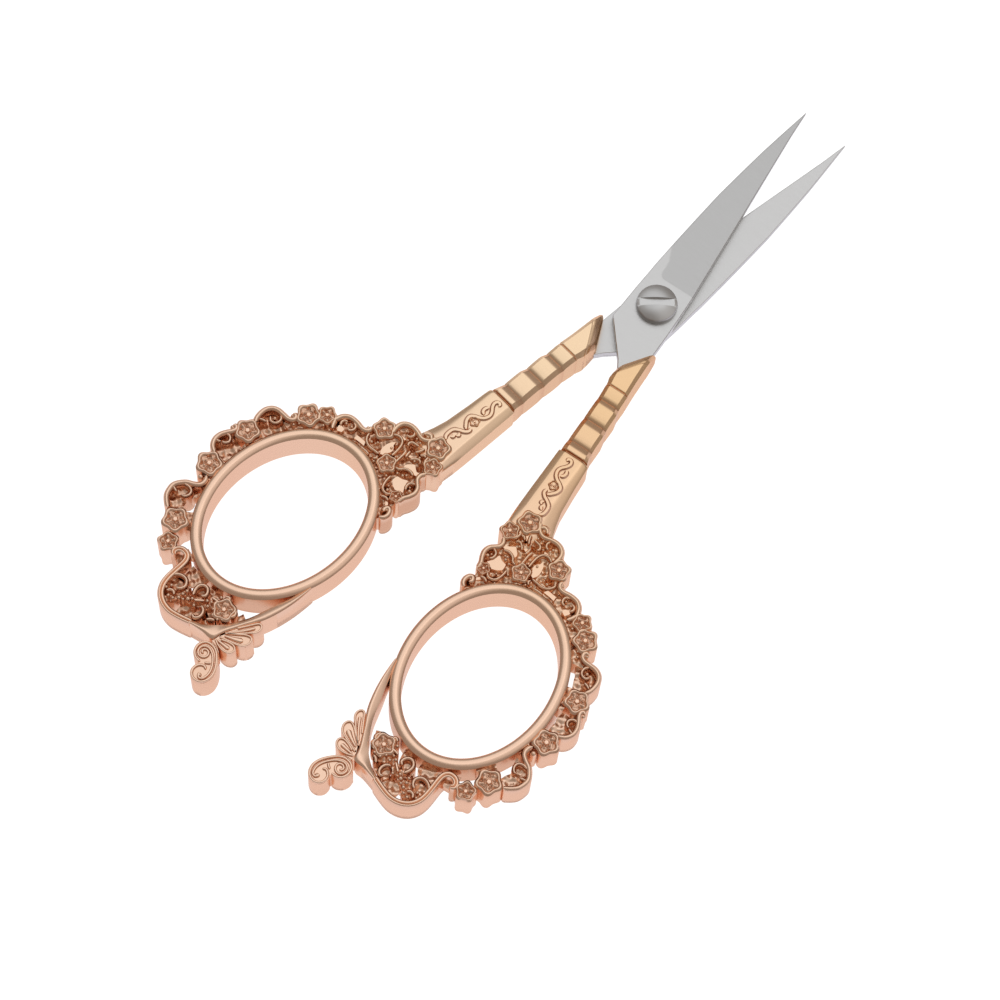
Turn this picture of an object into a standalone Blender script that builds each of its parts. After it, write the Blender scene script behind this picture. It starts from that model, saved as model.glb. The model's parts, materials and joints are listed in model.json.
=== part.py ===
"""Embroidery scissors with cast openwork handles, lying flat and a little open.

Two equal halves cross at a slotted pivot screw. Each half is a forged and ground steel blade whose tang
is held in a die-cast handle: a slanted collar, a stepped neck, a smooth shank, a cluster of flowers and
scrolls, an oval finger ring with a lace border of flowers and scallops, an open scroll loop and a
scrolled foot. The relief is the same on both faces, so the second half is the first one turned over.

Sizes are in millimetres and MM turns them to metres. A half is drawn closed: the pivot is at (0, 0), +X
runs to the blade tip, +Y runs away from the other half, and the back of the handle is at z = 0.
"""
import math

import bmesh
import bpy
from mathutils import Matrix, Vector

MM = 0.001

# Whole tool
HANDLE_DEPTH = 6.0
REST_OPENING_DEG = 11.86
SHANK_ROOT = 40.0
CLUSTER_LENGTH = 7.0

# Steel blades
BLADE_REACH = 39.5
BLADE_THICKNESS = 1.45
BLADE_RUNNING_GAP = 0.10
TIP_OFFSET = 0.3
RICASSO_FRONT = 4.2
CUTTING_EDGE_Y = 3.6
RICASSO_TOP_Y = 4.0
SPINE_Y = 3.9
SPINE_BULGE = 1.15
SHOULDER_GAP = 0.35
TANG_LENGTH = 17.0
TANG_WIDTH = 1.9
TANG_CLEARANCE = 0.3
GRIND_START_DEPTH = 0.06
GRIND_ROLL_DEG = 3.8
GRIND_PITCH_DEG = 0.9
EDGE_LAND = 0.15
EDGE_BEVEL_DEG = 42.0

# Pivot screw
SCREW_RADIUS = 1.5
SCREW_RUNNING_CLEARANCE = 0.06
SCREW_THREAD_CLEARANCE = 0.04
SCREW_TAIL_PROUD = 0.25
HEAD_RADIUS = 2.95
HEAD_GAP = 0.10
HEAD_RIM = 0.5
HEAD_DOME = 1.0
SLOT_WIDTH = 1.15
SLOT_DEPTH = 0.75
SLOT_DEG = -54.0

# Collar and neck: where the mouth is, and how high the long edges stand at the collar and the shank
MOUTH_X = -7.1
MOUTH_TOP_Y = 3.85
MOUTH_SLANT_DEG = 30.5
COLLAR_BACK = 15.0
NECK_BACK = 27.0
COLLAR_TOP_Y = 4.4
COLLAR_BOTTOM_Y = 1.0
NECK_TOP_Y = 5.75
NECK_BOTTOM_Y = 1.7
SHANK_FRONT_TOP_Y = 6.3
SHANK_ROOT_TOP_Y = 8.4
SHANK_BOTTOM_Y = 1.7
SHANK_ROOT_RECESS = 0.5
EDGE_CHAMFER = 0.75
CHAMFER_DROP = 0.7
NECK_GROOVE = 0.6
BAND_COUNT = 3
BAND_PITCH = 3.65
BAND_SLOPE = 1.0
BAND_RECESS = 0.12

# Finger ring
RING_A = 14.5
RING_B = 11.45
RING_WIDTH = 1.65
RING_GAP_TO_MIDLINE = 0.25
RING_STEPS = 44

# Lace border: heights of its parts below the handle's faces
WIRE_WIDTH = 0.6
WIRE_RECESS = 0.15
FLOWER_RECESS = 0.45
BEAD_RECESS = 0.2
FLOOR_RECESS = 1.7
BEAD_RADIUS = 0.38
PETALS = 5
PETAL_DEPTH = 0.22

# Foot scroll and palmette
SCROLL_RECESS = 0.3
SCROLL_WIDTH = 0.6
LOOP_WIDTH = 0.8
STEM_WIDTH = 1.5

MID = HANDLE_DEPTH / 2
RING_X = -(SHANK_ROOT + CLUSTER_LENGTH + RING_A)
RING_Y = RING_B + RING_GAP_TO_MIDLINE
LOWER_BLADE_TOP = MID - BLADE_RUNNING_GAP / 2
LOWER_BLADE_BOTTOM = LOWER_BLADE_TOP - BLADE_THICKNESS


def new_collection(name):
    collection = bpy.data.collections.new(name)
    bpy.context.scene.collection.children.link(collection)
    return collection


def link_object(name, data, collection):
    made = bpy.data.objects.new(name, data)
    collection.objects.link(made)
    return made


def evaluated_mesh(source):
    """A plain mesh of an object with its curve or modifiers worked out."""
    graph = bpy.context.evaluated_depsgraph_get()
    graph.update()
    return bpy.data.meshes.new_from_object(source.evaluated_get(graph))


def weld(mesh):
    """Join the loose caps of a mesh that came from a curve."""
    work = bmesh.new()
    work.from_mesh(mesh)
    bmesh.ops.remove_doubles(work, verts=work.verts, dist=0.00001)
    bmesh.ops.recalc_face_normals(work, faces=work.faces)
    work.to_mesh(mesh)
    work.free()


def slab(name, outline, low, high):
    """A flat outline in millimetres, filled and extruded from low to high."""
    curve = bpy.data.curves.new(name, "CURVE")
    curve.dimensions = "2D"
    curve.fill_mode = "BOTH"
    curve.extrude = (high - low) / 2 * MM
    spline = curve.splines.new("POLY")
    spline.points.add(len(outline) - 1)
    for point, (x, y) in zip(spline.points, outline):
        point.co = (x * MM, y * MM, 0.0, 1.0)
    spline.use_cyclic_u = True
    drawn = link_object(name, curve, workshop)
    drawn.location.z = (high + low) / 2 * MM
    bpy.context.view_layer.update()
    mesh = evaluated_mesh(drawn)
    mesh.transform(drawn.matrix_world)
    weld(mesh)
    bpy.data.objects.remove(drawn)
    return link_object(name, mesh, workshop)


def arc(centre, radius, start_deg, end_deg, steps):
    """Points on an arc."""
    turns = [math.radians(start_deg + (end_deg - start_deg) * i / steps) for i in range(steps + 1)]
    return [(centre[0] + radius * math.cos(t), centre[1] + radius * math.sin(t)) for t in turns]


def curl(centre, outer, inner, start_deg, end_deg, steps):
    """Points on a spiral that winds from an outer to an inner radius."""
    points = []
    for i in range(steps + 1):
        share = i / steps
        turn = math.radians(start_deg + (end_deg - start_deg) * share)
        radius = outer + (inner - outer) * share
        points.append((centre[0] + radius * math.cos(turn), centre[1] + radius * math.sin(turn)))
    return points


def ribbon_outline(path, start_width, end_width):
    """The closed outline of a strip of tapering width along a path."""
    left, right = [], []
    last = len(path) - 1
    for i, (x, y) in enumerate(path):
        ahead = Vector(path[min(i + 1, last)]) - Vector(path[max(i - 1, 0)])
        side = Vector((-ahead.y, ahead.x)).normalized()
        half = (start_width + (end_width - start_width) * i / last) / 2
        left.append((x + side.x * half, y + side.y * half))
        right.append((x - side.x * half, y - side.y * half))
    return left + right[::-1]


def ribbon(name, path, width, recess, end_width=None):
    outline = ribbon_outline(path, width, width if end_width is None else end_width)
    return slab(name, outline, recess, HANDLE_DEPTH - recess)


def flower(centre, radius, turn_deg, recess=FLOWER_RECESS):
    """A five-petalled rosette with a bead at its heart, as two slabs of unlike height."""
    points = []
    steps = PETALS * 3
    for i in range(steps):
        angle = 2 * math.pi * i / steps
        reach = radius * (1 - PETAL_DEPTH * (0.5 - 0.5 * math.cos(PETALS * angle)))
        turn = angle + math.radians(turn_deg)
        points.append((centre[0] + reach * math.cos(turn), centre[1] + reach * math.sin(turn)))
    low = recess + 0.02 * radius
    bead_low = low - FLOWER_RECESS + BEAD_RECESS
    heart = arc(centre, BEAD_RADIUS, 0, 288, 4)
    return [slab("rosette", points, low, HANDLE_DEPTH - low),
            slab("bead", heart, bead_low, HANDLE_DEPTH - bead_low)]


def loft(name, sections):
    """A closed skin through sections of equal count, each a list of (x, y, z), with flat ends."""
    work = bmesh.new()
    rows = [[work.verts.new(Vector(p) * MM) for p in section] for section in sections]
    count = len(rows[0])
    for back, front in zip(rows, rows[1:]):
        for i in range(count):
            work.faces.new((back[i], back[(i + 1) % count], front[(i + 1) % count], front[i]))
    work.faces.new(rows[0][::-1])
    work.faces.new(rows[-1])
    bmesh.ops.recalc_face_normals(work, faces=work.faces)
    mesh = bpy.data.meshes.new(name)
    work.to_mesh(mesh)
    work.free()
    return link_object(name, mesh, workshop)


def boolean(target, tool, operation):
    """Work a Boolean out at once and remove the tool."""
    step = target.modifiers.new(operation.lower(), "BOOLEAN")
    step.operation = operation
    step.object = tool
    mesh = evaluated_mesh(target)
    target.modifiers.clear()
    target.data = mesh
    bpy.data.objects.remove(tool)


def unite(target, tools):
    for tool in tools:
        boolean(target, tool, "UNION")


def tidy(target):
    """Weld the hairline slivers that a chain of Booleans leaves."""
    work = bmesh.new()
    work.from_mesh(target.data)
    bmesh.ops.remove_doubles(work, verts=work.verts, dist=0.000004)
    bmesh.ops.dissolve_degenerate(work, edges=work.edges, dist=0.000002)
    work.to_mesh(target.data)
    work.free()


def place_block(name, size, location, rotation):
    """A box cutter, with its size and place in millimetres."""
    bpy.ops.mesh.primitive_cube_add(size=1)
    block = bpy.context.object
    block.name = name
    turn = Matrix.LocRotScale(Vector(location) * MM, rotation, Vector(size) * MM)
    block.data.transform(turn)
    return block


def cylinder(name, radius, low, high, sides):
    bpy.ops.mesh.primitive_cylinder_add(vertices=sides, radius=radius * MM, depth=(high - low) * MM,
                                        location=(0, 0, (high + low) / 2 * MM))
    made = bpy.context.object
    made.name = name
    made.data.transform(Matrix.Translation(made.location))
    made.location = (0, 0, 0)
    return made


def metal(name, colour, roughness):
    material = bpy.data.materials.new(name)
    material.use_nodes = True
    shader = material.node_tree.nodes["Principled BSDF"]
    shader.inputs["Base Color"].default_value = (*colour, 1.0)
    shader.inputs["Metallic"].default_value = 1.0
    shader.inputs["Roughness"].default_value = roughness
    return material


# Blade: a flat plate with a slanted shoulder, a tang bar, a ground outer face and a bevelled edge
def mouth_point(along, out):
    """A point on the handle's slanted mouth: along it from its top end, and out in front of it."""
    slant = math.radians(MOUTH_SLANT_DEG)
    return (MOUTH_X - along * math.cos(slant) + out * math.sin(slant),
            MOUTH_TOP_Y - along * math.sin(slant) - out * math.cos(slant))


def spine_points(steps):
    """The blade's back, a shallow arch from the ricasso to the tip."""
    points = []
    for i in range(steps):
        share = i / steps
        x = BLADE_REACH - (BLADE_REACH + MOUTH_X * 0.3) * share
        straight = TIP_OFFSET - (SPINE_Y + TIP_OFFSET) * share
        points.append((x, straight - SPINE_BULGE * math.sin(math.pi * share ** 0.9)))
    return points


MOUTH_LENGTH = (MOUTH_TOP_Y - COLLAR_BOTTOM_Y) / math.sin(math.radians(MOUTH_SLANT_DEG))


def tang_bar(name, side_gap, end_gap, height_gap):
    """The bar that the handle is cast round, or with gaps the pocket that it leaves."""
    inner = mouth_point(MOUTH_LENGTH * 0.42, SHOULDER_GAP + 1.0)
    pocket_y = (NECK_TOP_Y + NECK_BOTTOM_Y) / 2 - 0.1
    along = Vector((MOUTH_X - TANG_LENGTH - inner[0], pocket_y - inner[1]))
    length = along.length + 2.0
    centre = Vector(inner) + along.normalized() * (length + end_gap) / 2
    return place_block(name, (length + end_gap, TANG_WIDTH + 2 * side_gap, BLADE_THICKNESS + 2 * height_gap),
                       (centre.x, centre.y, LOWER_BLADE_TOP - BLADE_THICKNESS / 2),
                       Matrix.Rotation(math.atan2(along.y, along.x), 3, "Z").to_quaternion())


def make_blade(name, hole_clearance):
    top_corner = (mouth_point(0, SHOULDER_GAP)[0], RICASSO_TOP_Y)
    shoulder = [top_corner, mouth_point(0, SHOULDER_GAP), mouth_point(MOUTH_LENGTH - 0.3, SHOULDER_GAP)]
    heel = [mouth_point(MOUTH_LENGTH - 1.0, 1.6), (MOUTH_X + 2.2, -SPINE_Y - 0.45)]
    outline = [(BLADE_REACH, TIP_OFFSET), (RICASSO_FRONT, CUTTING_EDGE_Y), (-1.0, RICASSO_TOP_Y)]
    outline += shoulder + heel + spine_points(12)[:0:-1]
    blade = slab(name, outline, LOWER_BLADE_BOTTOM, LOWER_BLADE_TOP)
    unite(blade, [tang_bar("tang", 0.0, 0.0, -0.02)])

    roll = Matrix.Rotation(math.radians(GRIND_ROLL_DEG), 3, "X")
    pitch = Matrix.Rotation(math.radians(-GRIND_PITCH_DEG), 3, "Y")
    turn = pitch @ roll
    reach = BLADE_REACH + 10
    corner = Vector((RICASSO_FRONT, -SPINE_Y, LOWER_BLADE_BOTTOM + GRIND_START_DEPTH))
    centre = corner + turn @ Vector((reach / 2, 0, -2.0))
    grind = place_block("grind", (reach, 30, 4.0), centre, turn.to_quaternion())
    boolean(blade, grind, "DIFFERENCE")

    run = Vector((BLADE_REACH - RICASSO_FRONT, TIP_OFFSET - CUTTING_EDGE_Y))
    heading = Matrix.Rotation(math.atan2(run.y, run.x), 3, "Z")
    tilt = heading @ Matrix.Rotation(math.radians(EDGE_BEVEL_DEG), 3, "X")
    start = Vector((RICASSO_FRONT, CUTTING_EDGE_Y, LOWER_BLADE_TOP - EDGE_LAND))
    centre = start + heading @ Vector((run.length / 2 + 2.0, 0, 0)) + tilt @ Vector((0, 0, -2.0))
    bevel = place_block("edge_bevel", (run.length + 4.0, 12.0, 4.0), centre, tilt.to_quaternion())
    boolean(blade, bevel, "DIFFERENCE")

    hole = cylinder("pivot_hole", SCREW_RADIUS + hole_clearance, 0, HANDLE_DEPTH, 40)
    boolean(blade, hole, "DIFFERENCE")
    tidy(blade)
    return blade


# Handle: the neck and shank
def neck_edges(x):
    """The lower and upper long edge of the casting at a distance x behind the pivot."""
    if x < NECK_BACK:
        share = max((x + MOUTH_X) / (NECK_BACK + MOUTH_X), 0.0)
        return (COLLAR_BOTTOM_Y + (NECK_BOTTOM_Y - COLLAR_BOTTOM_Y) * share,
                COLLAR_TOP_Y + (NECK_TOP_Y - COLLAR_TOP_Y) * share)
    share = (x - NECK_BACK) / (SHANK_ROOT - NECK_BACK)
    return (NECK_BOTTOM_Y + (SHANK_BOTTOM_Y - NECK_BOTTOM_Y) * share,
            SHANK_FRONT_TOP_Y + (SHANK_ROOT_TOP_Y - SHANK_FRONT_TOP_Y) * share ** 2.2)


def section(x, groove):
    """An eight-cornered section with chamfered long edges, sunk by the groove."""
    low, high = neck_edges(x)
    low += groove * 0.3
    high -= groove * 0.3
    base, top = groove, HANDLE_DEPTH - groove
    chamfer, drop = EDGE_CHAMFER, CHAMFER_DROP
    return [(-x, low, base + drop), (-x, low + chamfer, base), (-x, high - chamfer, base),
            (-x, high, base + drop), (-x, high, top - drop), (-x, high - chamfer, top),
            (-x, low + chamfer, top), (-x, low, top - drop)]


def make_shank():
    sections = [section(-MOUTH_X - 1.5, 0.0), section(COLLAR_BACK, 0.0)]
    for band in range(BAND_COUNT):
        start = COLLAR_BACK + BAND_PITCH * band
        flat_end = start + BAND_PITCH - BAND_SLOPE
        sections.append(section(start + 0.1, BAND_RECESS))
        sections.append(section(flat_end, BAND_RECESS))
        sections.append(section(flat_end + BAND_SLOPE * 0.8, NECK_GROOVE))
        sections.append(section(flat_end + BAND_SLOPE * 0.9, NECK_GROOVE))
    sections.append(section(COLLAR_BACK + BAND_PITCH * BAND_COUNT + 0.1, BAND_RECESS))
    sections.append(section(NECK_BACK - 0.2, BAND_RECESS))
    sections.append(section(NECK_BACK, 0.0))
    for share in (0.25, 0.5, 0.75, 1.0):
        x = NECK_BACK + (SHANK_ROOT - NECK_BACK) * share
        sections.append(section(x, SHANK_ROOT_RECESS * share))
    shank = loft("shank", sections)

    top_end = mouth_point(0, 0)
    foot = mouth_point(MOUTH_LENGTH + 1.6, 0)
    mouth = slab("mouth", [foot, top_end, (top_end[0], 9.0), (6.0, 9.0), (6.0, -6.0), (foot[0], -6.0)],
                 -1.0, HANDLE_DEPTH + 1.0)
    boolean(shank, mouth, "DIFFERENCE")
    return shank


# Handle: the finger ring, a strip with rounded faces carried round an oval
def make_ring():
    sections = []
    half = RING_WIDTH / 2
    for i in range(RING_STEPS):
        turn = 2 * math.pi * i / RING_STEPS
        across = Vector((math.cos(turn) * RING_B, math.sin(turn) * RING_A)).normalized()
        centre = Vector((RING_X + (RING_A - half) * math.cos(turn), RING_Y + (RING_B - half) * math.sin(turn)))
        row = []
        for out, height in RING_PROFILE:
            spot = centre + across * out
            row.append((spot.x, spot.y, height))
        sections.append(row)
    work = bmesh.new()
    rows = [[work.verts.new(Vector(p) * MM) for p in row] for row in sections]
    count = len(RING_PROFILE)
    for i in range(RING_STEPS):
        back, front = rows[i], rows[(i + 1) % RING_STEPS]
        for k in range(count):
            work.faces.new((back[k], back[(k + 1) % count], front[(k + 1) % count], front[k]))
    bmesh.ops.recalc_face_normals(work, faces=work.faces)
    mesh = bpy.data.meshes.new("ring")
    work.to_mesh(mesh)
    work.free()
    return link_object("ring", mesh, workshop)


def ring_profile():
    """The strip's section: straight sides and a shallow arch on each face."""
    half = RING_WIDTH / 2
    rise = half * 0.8
    arch = [(half * math.cos(math.radians(t)), rise * math.sin(math.radians(t))) for t in range(0, 181, 45)]
    top = [(out, HANDLE_DEPTH - rise + up) for out, up in arch]
    bottom = [(-out, rise - up) for out, up in arch]
    return top + bottom


RING_PROFILE = ring_profile()


def around(turn_deg, outside):
    """A point outside the ring, by its turn round the oval and its distance past the outer edge."""
    turn = math.radians(turn_deg)
    return (RING_X + (RING_A + outside) * math.cos(turn), RING_Y + (RING_B + outside) * math.sin(turn))


# Handle: the lace border, each line one motif round the ring
ROSETTES = [
    # turn round the ring, distance past its edge, radius, own turn
    (147.5, 2.9, 1.5, 20),
    (135.5, 2.15, 2.05, 50),
    (100.0, 1.3, 1.95, 10),
    (75.0, 1.9, 1.95, 30),
    (42.0, 2.0, 1.85, 0),
    (31.5, 2.1, 1.5, 40),
    (0.7, 4.4, 1.75, 15),
    (-18.0, 1.5, 1.7, 0),
]
SCALLOPS = [
    # turn round the ring, distance past its edge, radius, start and end of the arc, whether it is webbed
    (122.9, 1.9, 2.45, -30, 190, True),
    (110.1, 1.1, 0.85, 190, 350, False),
    (86.8, 1.7, 1.85, -20, 190, True),
    (61.0, 1.8, 1.85, -55, 165, True),
    (51.0, 1.3, 0.8, 180, 330, False),
    (18.7, 1.1, 1.75, -75, 110, True),
    (-9.1, 6.2, 1.6, -70, 120, False),
    (-33.0, 3.4, 1.7, 180, 360, False),
    (-47.2, 0.8, 1.0, 150, 380, False),
]
CURLS = [
    # turn round the ring, distance past its edge, outer radius, start and end of the spiral
    (119.5, 1.9, 0.95, -60, 240),
    (84.0, 2.2, 0.85, 0, 300),
    (58.0, 1.7, 0.9, -40, 250),
    (19.0, 0.9, 0.8, -60, 240),
    (-33.0, 2.4, 0.8, 180, 480),
    (-33.0, 3.9, 0.75, 0, 300),
    (5.0, 1.9, 1.15, 90, 380),
    (-9.0, 3.9, 0.95, 20, 320),
    (-20.0, 4.2, 0.9, -60, 250),
]


def scallop(turn, outside, radius, start, end, webbed):
    """A raised wire in an arc and, on the side of its curl, the sunk web that ties it to the ring."""
    centre = around(turn, outside)
    steps = max(5, round((end - start) / 24))
    made = [ribbon("scallop", arc(centre, radius, start, end, steps), WIRE_WIDTH, WIRE_RECESS + 0.03 * radius)]
    if webbed:
        shade = math.degrees(radius / RING_A)
        roots = [around(turn - share * shade, -RING_WIDTH / 2) for share in (1.1, 0.4, -0.1)]
        recess = FLOOR_RECESS + 0.1 * radius
        made.append(slab("web", arc(centre, radius, turn - 10, start, 5) + roots, recess, HANDLE_DEPTH - recess))
    return made


def make_border():
    pieces = []
    for turn, outside, radius, own_turn in ROSETTES:
        pieces += flower(around(turn, outside), radius, own_turn)
    for row in SCALLOPS:
        pieces += scallop(*row)
    for turn, outside, radius, start, end in CURLS:
        path = curl(around(turn, outside), radius, radius * 0.45, start, end, 8)
        pieces.append(ribbon("curl", path, WIRE_WIDTH, WIRE_RECESS + 0.1 + 0.1 * radius, WIRE_WIDTH))
    tie = [around(t, -RING_WIDTH / 2) for t in (128, 136, 144)] + [around(t, 2.4) for t in (147, 136, 129)]
    pieces.append(slab("web", tie, FLOOR_RECESS + 0.35, HANDLE_DEPTH - FLOOR_RECESS - 0.35))
    return pieces


# Handle: the sunk web that carries the cluster between ring and shank, and its rosettes
def make_cluster():
    root = -SHANK_ROOT + 1.5
    edge = [around(t, -RING_WIDTH / 2) for t in (-52, -38, -24, -10, 4, 18, 32)]
    outer = [around(33, 1.2), around(20, 1.6), around(8, 3.6), (-SHANK_ROOT - 0.6, SHANK_ROOT_TOP_Y + 0.8),
             (root, SHANK_ROOT_TOP_Y - 1.0), (root, SHANK_BOTTOM_Y + 0.5), around(-33, 4.6), around(-44, 1.6)]
    pieces = [slab("web", edge + outer, FLOOR_RECESS, HANDLE_DEPTH - FLOOR_RECESS)]
    pieces += flower((-SHANK_ROOT - 1.9, 2.9), 1.45, 18)
    pieces += flower((-SHANK_ROOT - 2.2, 6.4), 1.5, 18)
    pieces += flower((-SHANK_ROOT + 1.4, 4.5), 1.7, 18, SHANK_ROOT_RECESS - 0.22)
    return pieces


# Handle: the open scroll loop at the ring's far end, and the sprig inside it
def make_loop():
    far = RING_X - RING_A
    apex = (far - 5.2, 4.8)
    bow = arc((far - 3.2, 11.8), 3.6, 80, 190, 8)
    knuckle = arc((far - 0.4, 16.75), 0.95, 100, -80, 6)
    wire = knuckle + bow + [(apex[0] - 0.6, apex[1] + 3.7), (apex[0] + 0.1, apex[1] + 0.4)]
    stem = [(apex[0] - 0.5, apex[1] + 0.25), (apex[0] + 2.7, apex[1] - 1.4), (apex[0] + 6.0, apex[1] - 2.7),
            (apex[0] + 9.0, apex[1] - 3.5), (apex[0] + 12.0, apex[1] - 3.8)]
    pieces = [ribbon("loop", wire, LOOP_WIDTH, WIRE_RECESS, LOOP_WIDTH * 1.5),
              ribbon("stem", stem, STEM_WIDTH * 1.2, WIRE_RECESS + 0.05, STEM_WIDTH * 0.7)]
    eye = (far - 3.15, 14.0)
    heart = (far - 0.85, 6.9)
    leaf = [(eye[0] - 0.4, eye[1] - 1.1), (eye[0] - 0.6, eye[1] - 2.4), (eye[0] + 0.3, eye[1] - 3.8),
            (eye[0] + 1.2, eye[1] - 5.2), heart]
    pieces.append(ribbon("leaf", leaf, WIRE_WIDTH * 1.2, WIRE_RECESS + 0.5, WIRE_WIDTH * 2.4))
    twigs = [curl(eye, 1.15, 0.75, 150, -160, 9),
             curl((eye[0] + 1.45, eye[1] - 3.1), 0.95, 0.5, 200, -70, 7),
             curl((eye[0] - 0.9, eye[1] - 4.9), 0.95, 0.5, 170, 440, 7)]
    for lift, twig in enumerate(twigs):
        pieces.append(ribbon("twig", twig, WIRE_WIDTH, WIRE_RECESS + 0.22 + 0.05 * lift, WIRE_WIDTH))
    tie = [(eye[0] + 0.4, eye[1] + 1.6), eye]
    pieces.append(ribbon("tie", tie, WIRE_WIDTH * 2, FLOOR_RECESS + 0.2))
    pieces.append(ribbon("tie", [heart, (far + 1.2, heart[1] + 0.9)], WIRE_WIDTH * 3, FLOOR_RECESS + 0.1))
    pieces.append(ribbon("tie", [(eye[0] - 2.2, eye[1] - 4.6), (eye[0] + 0.8, eye[1] - 5.0)], WIRE_WIDTH * 2,
                         FLOOR_RECESS + 0.3))
    pieces += flower(heart, 2.0, 35)
    return pieces


# Handle: the foot, a scroll with a spiral at each end, and a palmette of three drop-shaped leaves
def make_foot():
    far = RING_X - RING_A
    apex = (far - 5.2, 4.8)
    big = (far - 9.8, 2.15)
    small = (far - 7.25, 4.0)
    back = [(big[0] - 1.3, big[1] - 0.1), (big[0] - 0.8, big[1] - 1.2), (big[0] + 0.5, big[1] - 1.5),
            (big[0] + 1.9, big[1] - 1.1), (small[0] + 0.7, small[1] - 1.9), (small[0] + 1.35, small[1] - 0.6),
            (small[0] + 1.25, small[1] + 0.6), (small[0] + 0.3, small[1] + 1.2)]
    pieces = [ribbon("foot_back", back, SCROLL_WIDTH, SCROLL_RECESS, SCROLL_WIDTH),
              slab("foot_disc", arc(big, 1.5, 0, 330, 11), FLOOR_RECESS * 0.6, HANDLE_DEPTH - FLOOR_RECESS * 0.6),
              slab("foot_disc", arc(small, 1.4, 0, 330, 11), FLOOR_RECESS * 0.65, HANDLE_DEPTH - FLOOR_RECESS * 0.65),
              ribbon("foot_scroll", curl(big, 1.3, 0.5, 200, -120, 10), SCROLL_WIDTH * 0.8, SCROLL_RECESS + 0.1),
              ribbon("foot_scroll", curl(small, 1.15, 0.45, -30, 290, 10), SCROLL_WIDTH * 0.8, SCROLL_RECESS + 0.15)]
    for leaf, (root_x, tip_x, tip_y, width) in enumerate(PALMETTE):
        root = (apex[0] + root_x, apex[1] - 0.1 - 0.42 * root_x)
        pieces.append(petal(root, (apex[0] + tip_x, tip_y), width, SCROLL_RECESS + 0.05 + 0.06 * leaf))
    return pieces


PALMETTE = [
    # root along the stem, tip from the loop's apex, tip height, width
    (0.1, 0.6, 1.75, 1.6),
    (0.8, 3.0, 1.4, 2.0),
    (2.2, 5.4, 1.85, 1.6),
]


def petal(root, tip, width, recess):
    """A drop-shaped palmette leaf from a narrow root to a round tip."""
    along = Vector(tip) - Vector(root)
    heading = math.degrees(math.atan2(along.y, along.x))
    side = Vector((-along.y, along.x)).normalized() * width * 0.2
    round_end = arc(tip, width / 2, heading - 100, heading + 100, 6)
    base = [(root[0] + side.x, root[1] + side.y), (root[0] - side.x, root[1] - side.y)]
    return slab("petal", base + round_end, recess, HANDLE_DEPTH - recess)


def make_handle():
    handle = make_ring()
    unite(handle, [make_shank()])
    unite(handle, make_cluster())
    unite(handle, make_border())
    unite(handle, make_loop())
    unite(handle, make_foot())
    boolean(handle, tang_bar("pocket", TANG_CLEARANCE, TANG_CLEARANCE, TANG_CLEARANCE), "DIFFERENCE")
    tidy(handle)
    return handle


# Pivot screw: a turned shape with a driver slot across its domed head
def make_screw():
    top = HANDLE_DEPTH - LOWER_BLADE_BOTTOM + HEAD_GAP
    rim = top + HEAD_RIM
    profile = [(HEAD_RADIUS * math.sin(t), rim + HEAD_DOME * math.cos(t))
               for t in (math.radians(d) for d in range(0, 91, 15))]
    tail = LOWER_BLADE_BOTTOM - SCREW_TAIL_PROUD
    profile += [(HEAD_RADIUS, top), (SCREW_RADIUS, top), (SCREW_RADIUS, tail + 0.2),
                (SCREW_RADIUS - 0.2, tail), (0.0, tail)]
    mesh = bpy.data.meshes.new("pivot_screw")
    edges = [(i, i + 1) for i in range(len(profile) - 1)]
    mesh.from_pydata([(r * MM, 0.0, z * MM) for r, z in profile], edges, [])
    screw = link_object("pivot_screw", mesh, workshop)
    turn = screw.modifiers.new("turn", "SCREW")
    turn.steps = 40
    turn.render_steps = 40
    turn.use_merge_vertices = True
    turn.merge_threshold = 0.00005
    screw.data = evaluated_mesh(screw)
    screw.modifiers.clear()
    slot_turn = Matrix.Rotation(math.radians(SLOT_DEG + REST_OPENING_DEG / 2), 3, "Z").to_quaternion()
    slot_floor = rim + HEAD_DOME - SLOT_DEPTH
    slot = place_block("slot", (HEAD_RADIUS * 3, SLOT_WIDTH, 4.0), (0, 0, slot_floor + 2.0), slot_turn)
    boolean(screw, slot, "DIFFERENCE")
    return screw


def fit_out(piece, name, material, parent):
    """Give a finished piece its name, finish and place in the assembly."""
    piece.name = name
    piece.data.materials.clear()
    piece.data.materials.append(material)
    piece.data.shade_smooth()
    piece.data.set_sharp_from_angle(angle=math.radians(35))
    for holder in piece.users_collection:
        holder.objects.unlink(piece)
    scissors.objects.link(piece)
    piece.parent = parent
    return piece


def turned_over(piece):
    """Turn a piece over about the long axis in the middle of the handles' depth."""
    piece.rotation_euler = (math.pi, 0, 0)
    piece.location.z = HANDLE_DEPTH * MM
    return piece


for old in list(bpy.data.objects):
    bpy.data.objects.remove(old)
scissors = new_collection("embroidery_scissors")
workshop = new_collection("workshop")

steel = metal("ground_steel", (0.56, 0.56, 0.57), 0.32)
screw_steel = metal("turned_steel", (0.42, 0.42, 0.43), 0.28)
casting = metal("rose_gold_plated_zinc", (0.72, 0.43, 0.29), 0.34)

pivot = link_object("pivot", None, scissors)
lower_half = link_object("lower_half", None, scissors)
upper_half = link_object("upper_half", None, scissors)
lower_half.parent = pivot
upper_half.parent = pivot
lower_half.rotation_euler.z = -math.radians(REST_OPENING_DEG / 2)
upper_half.rotation_euler.z = math.radians(REST_OPENING_DEG / 2)

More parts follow.
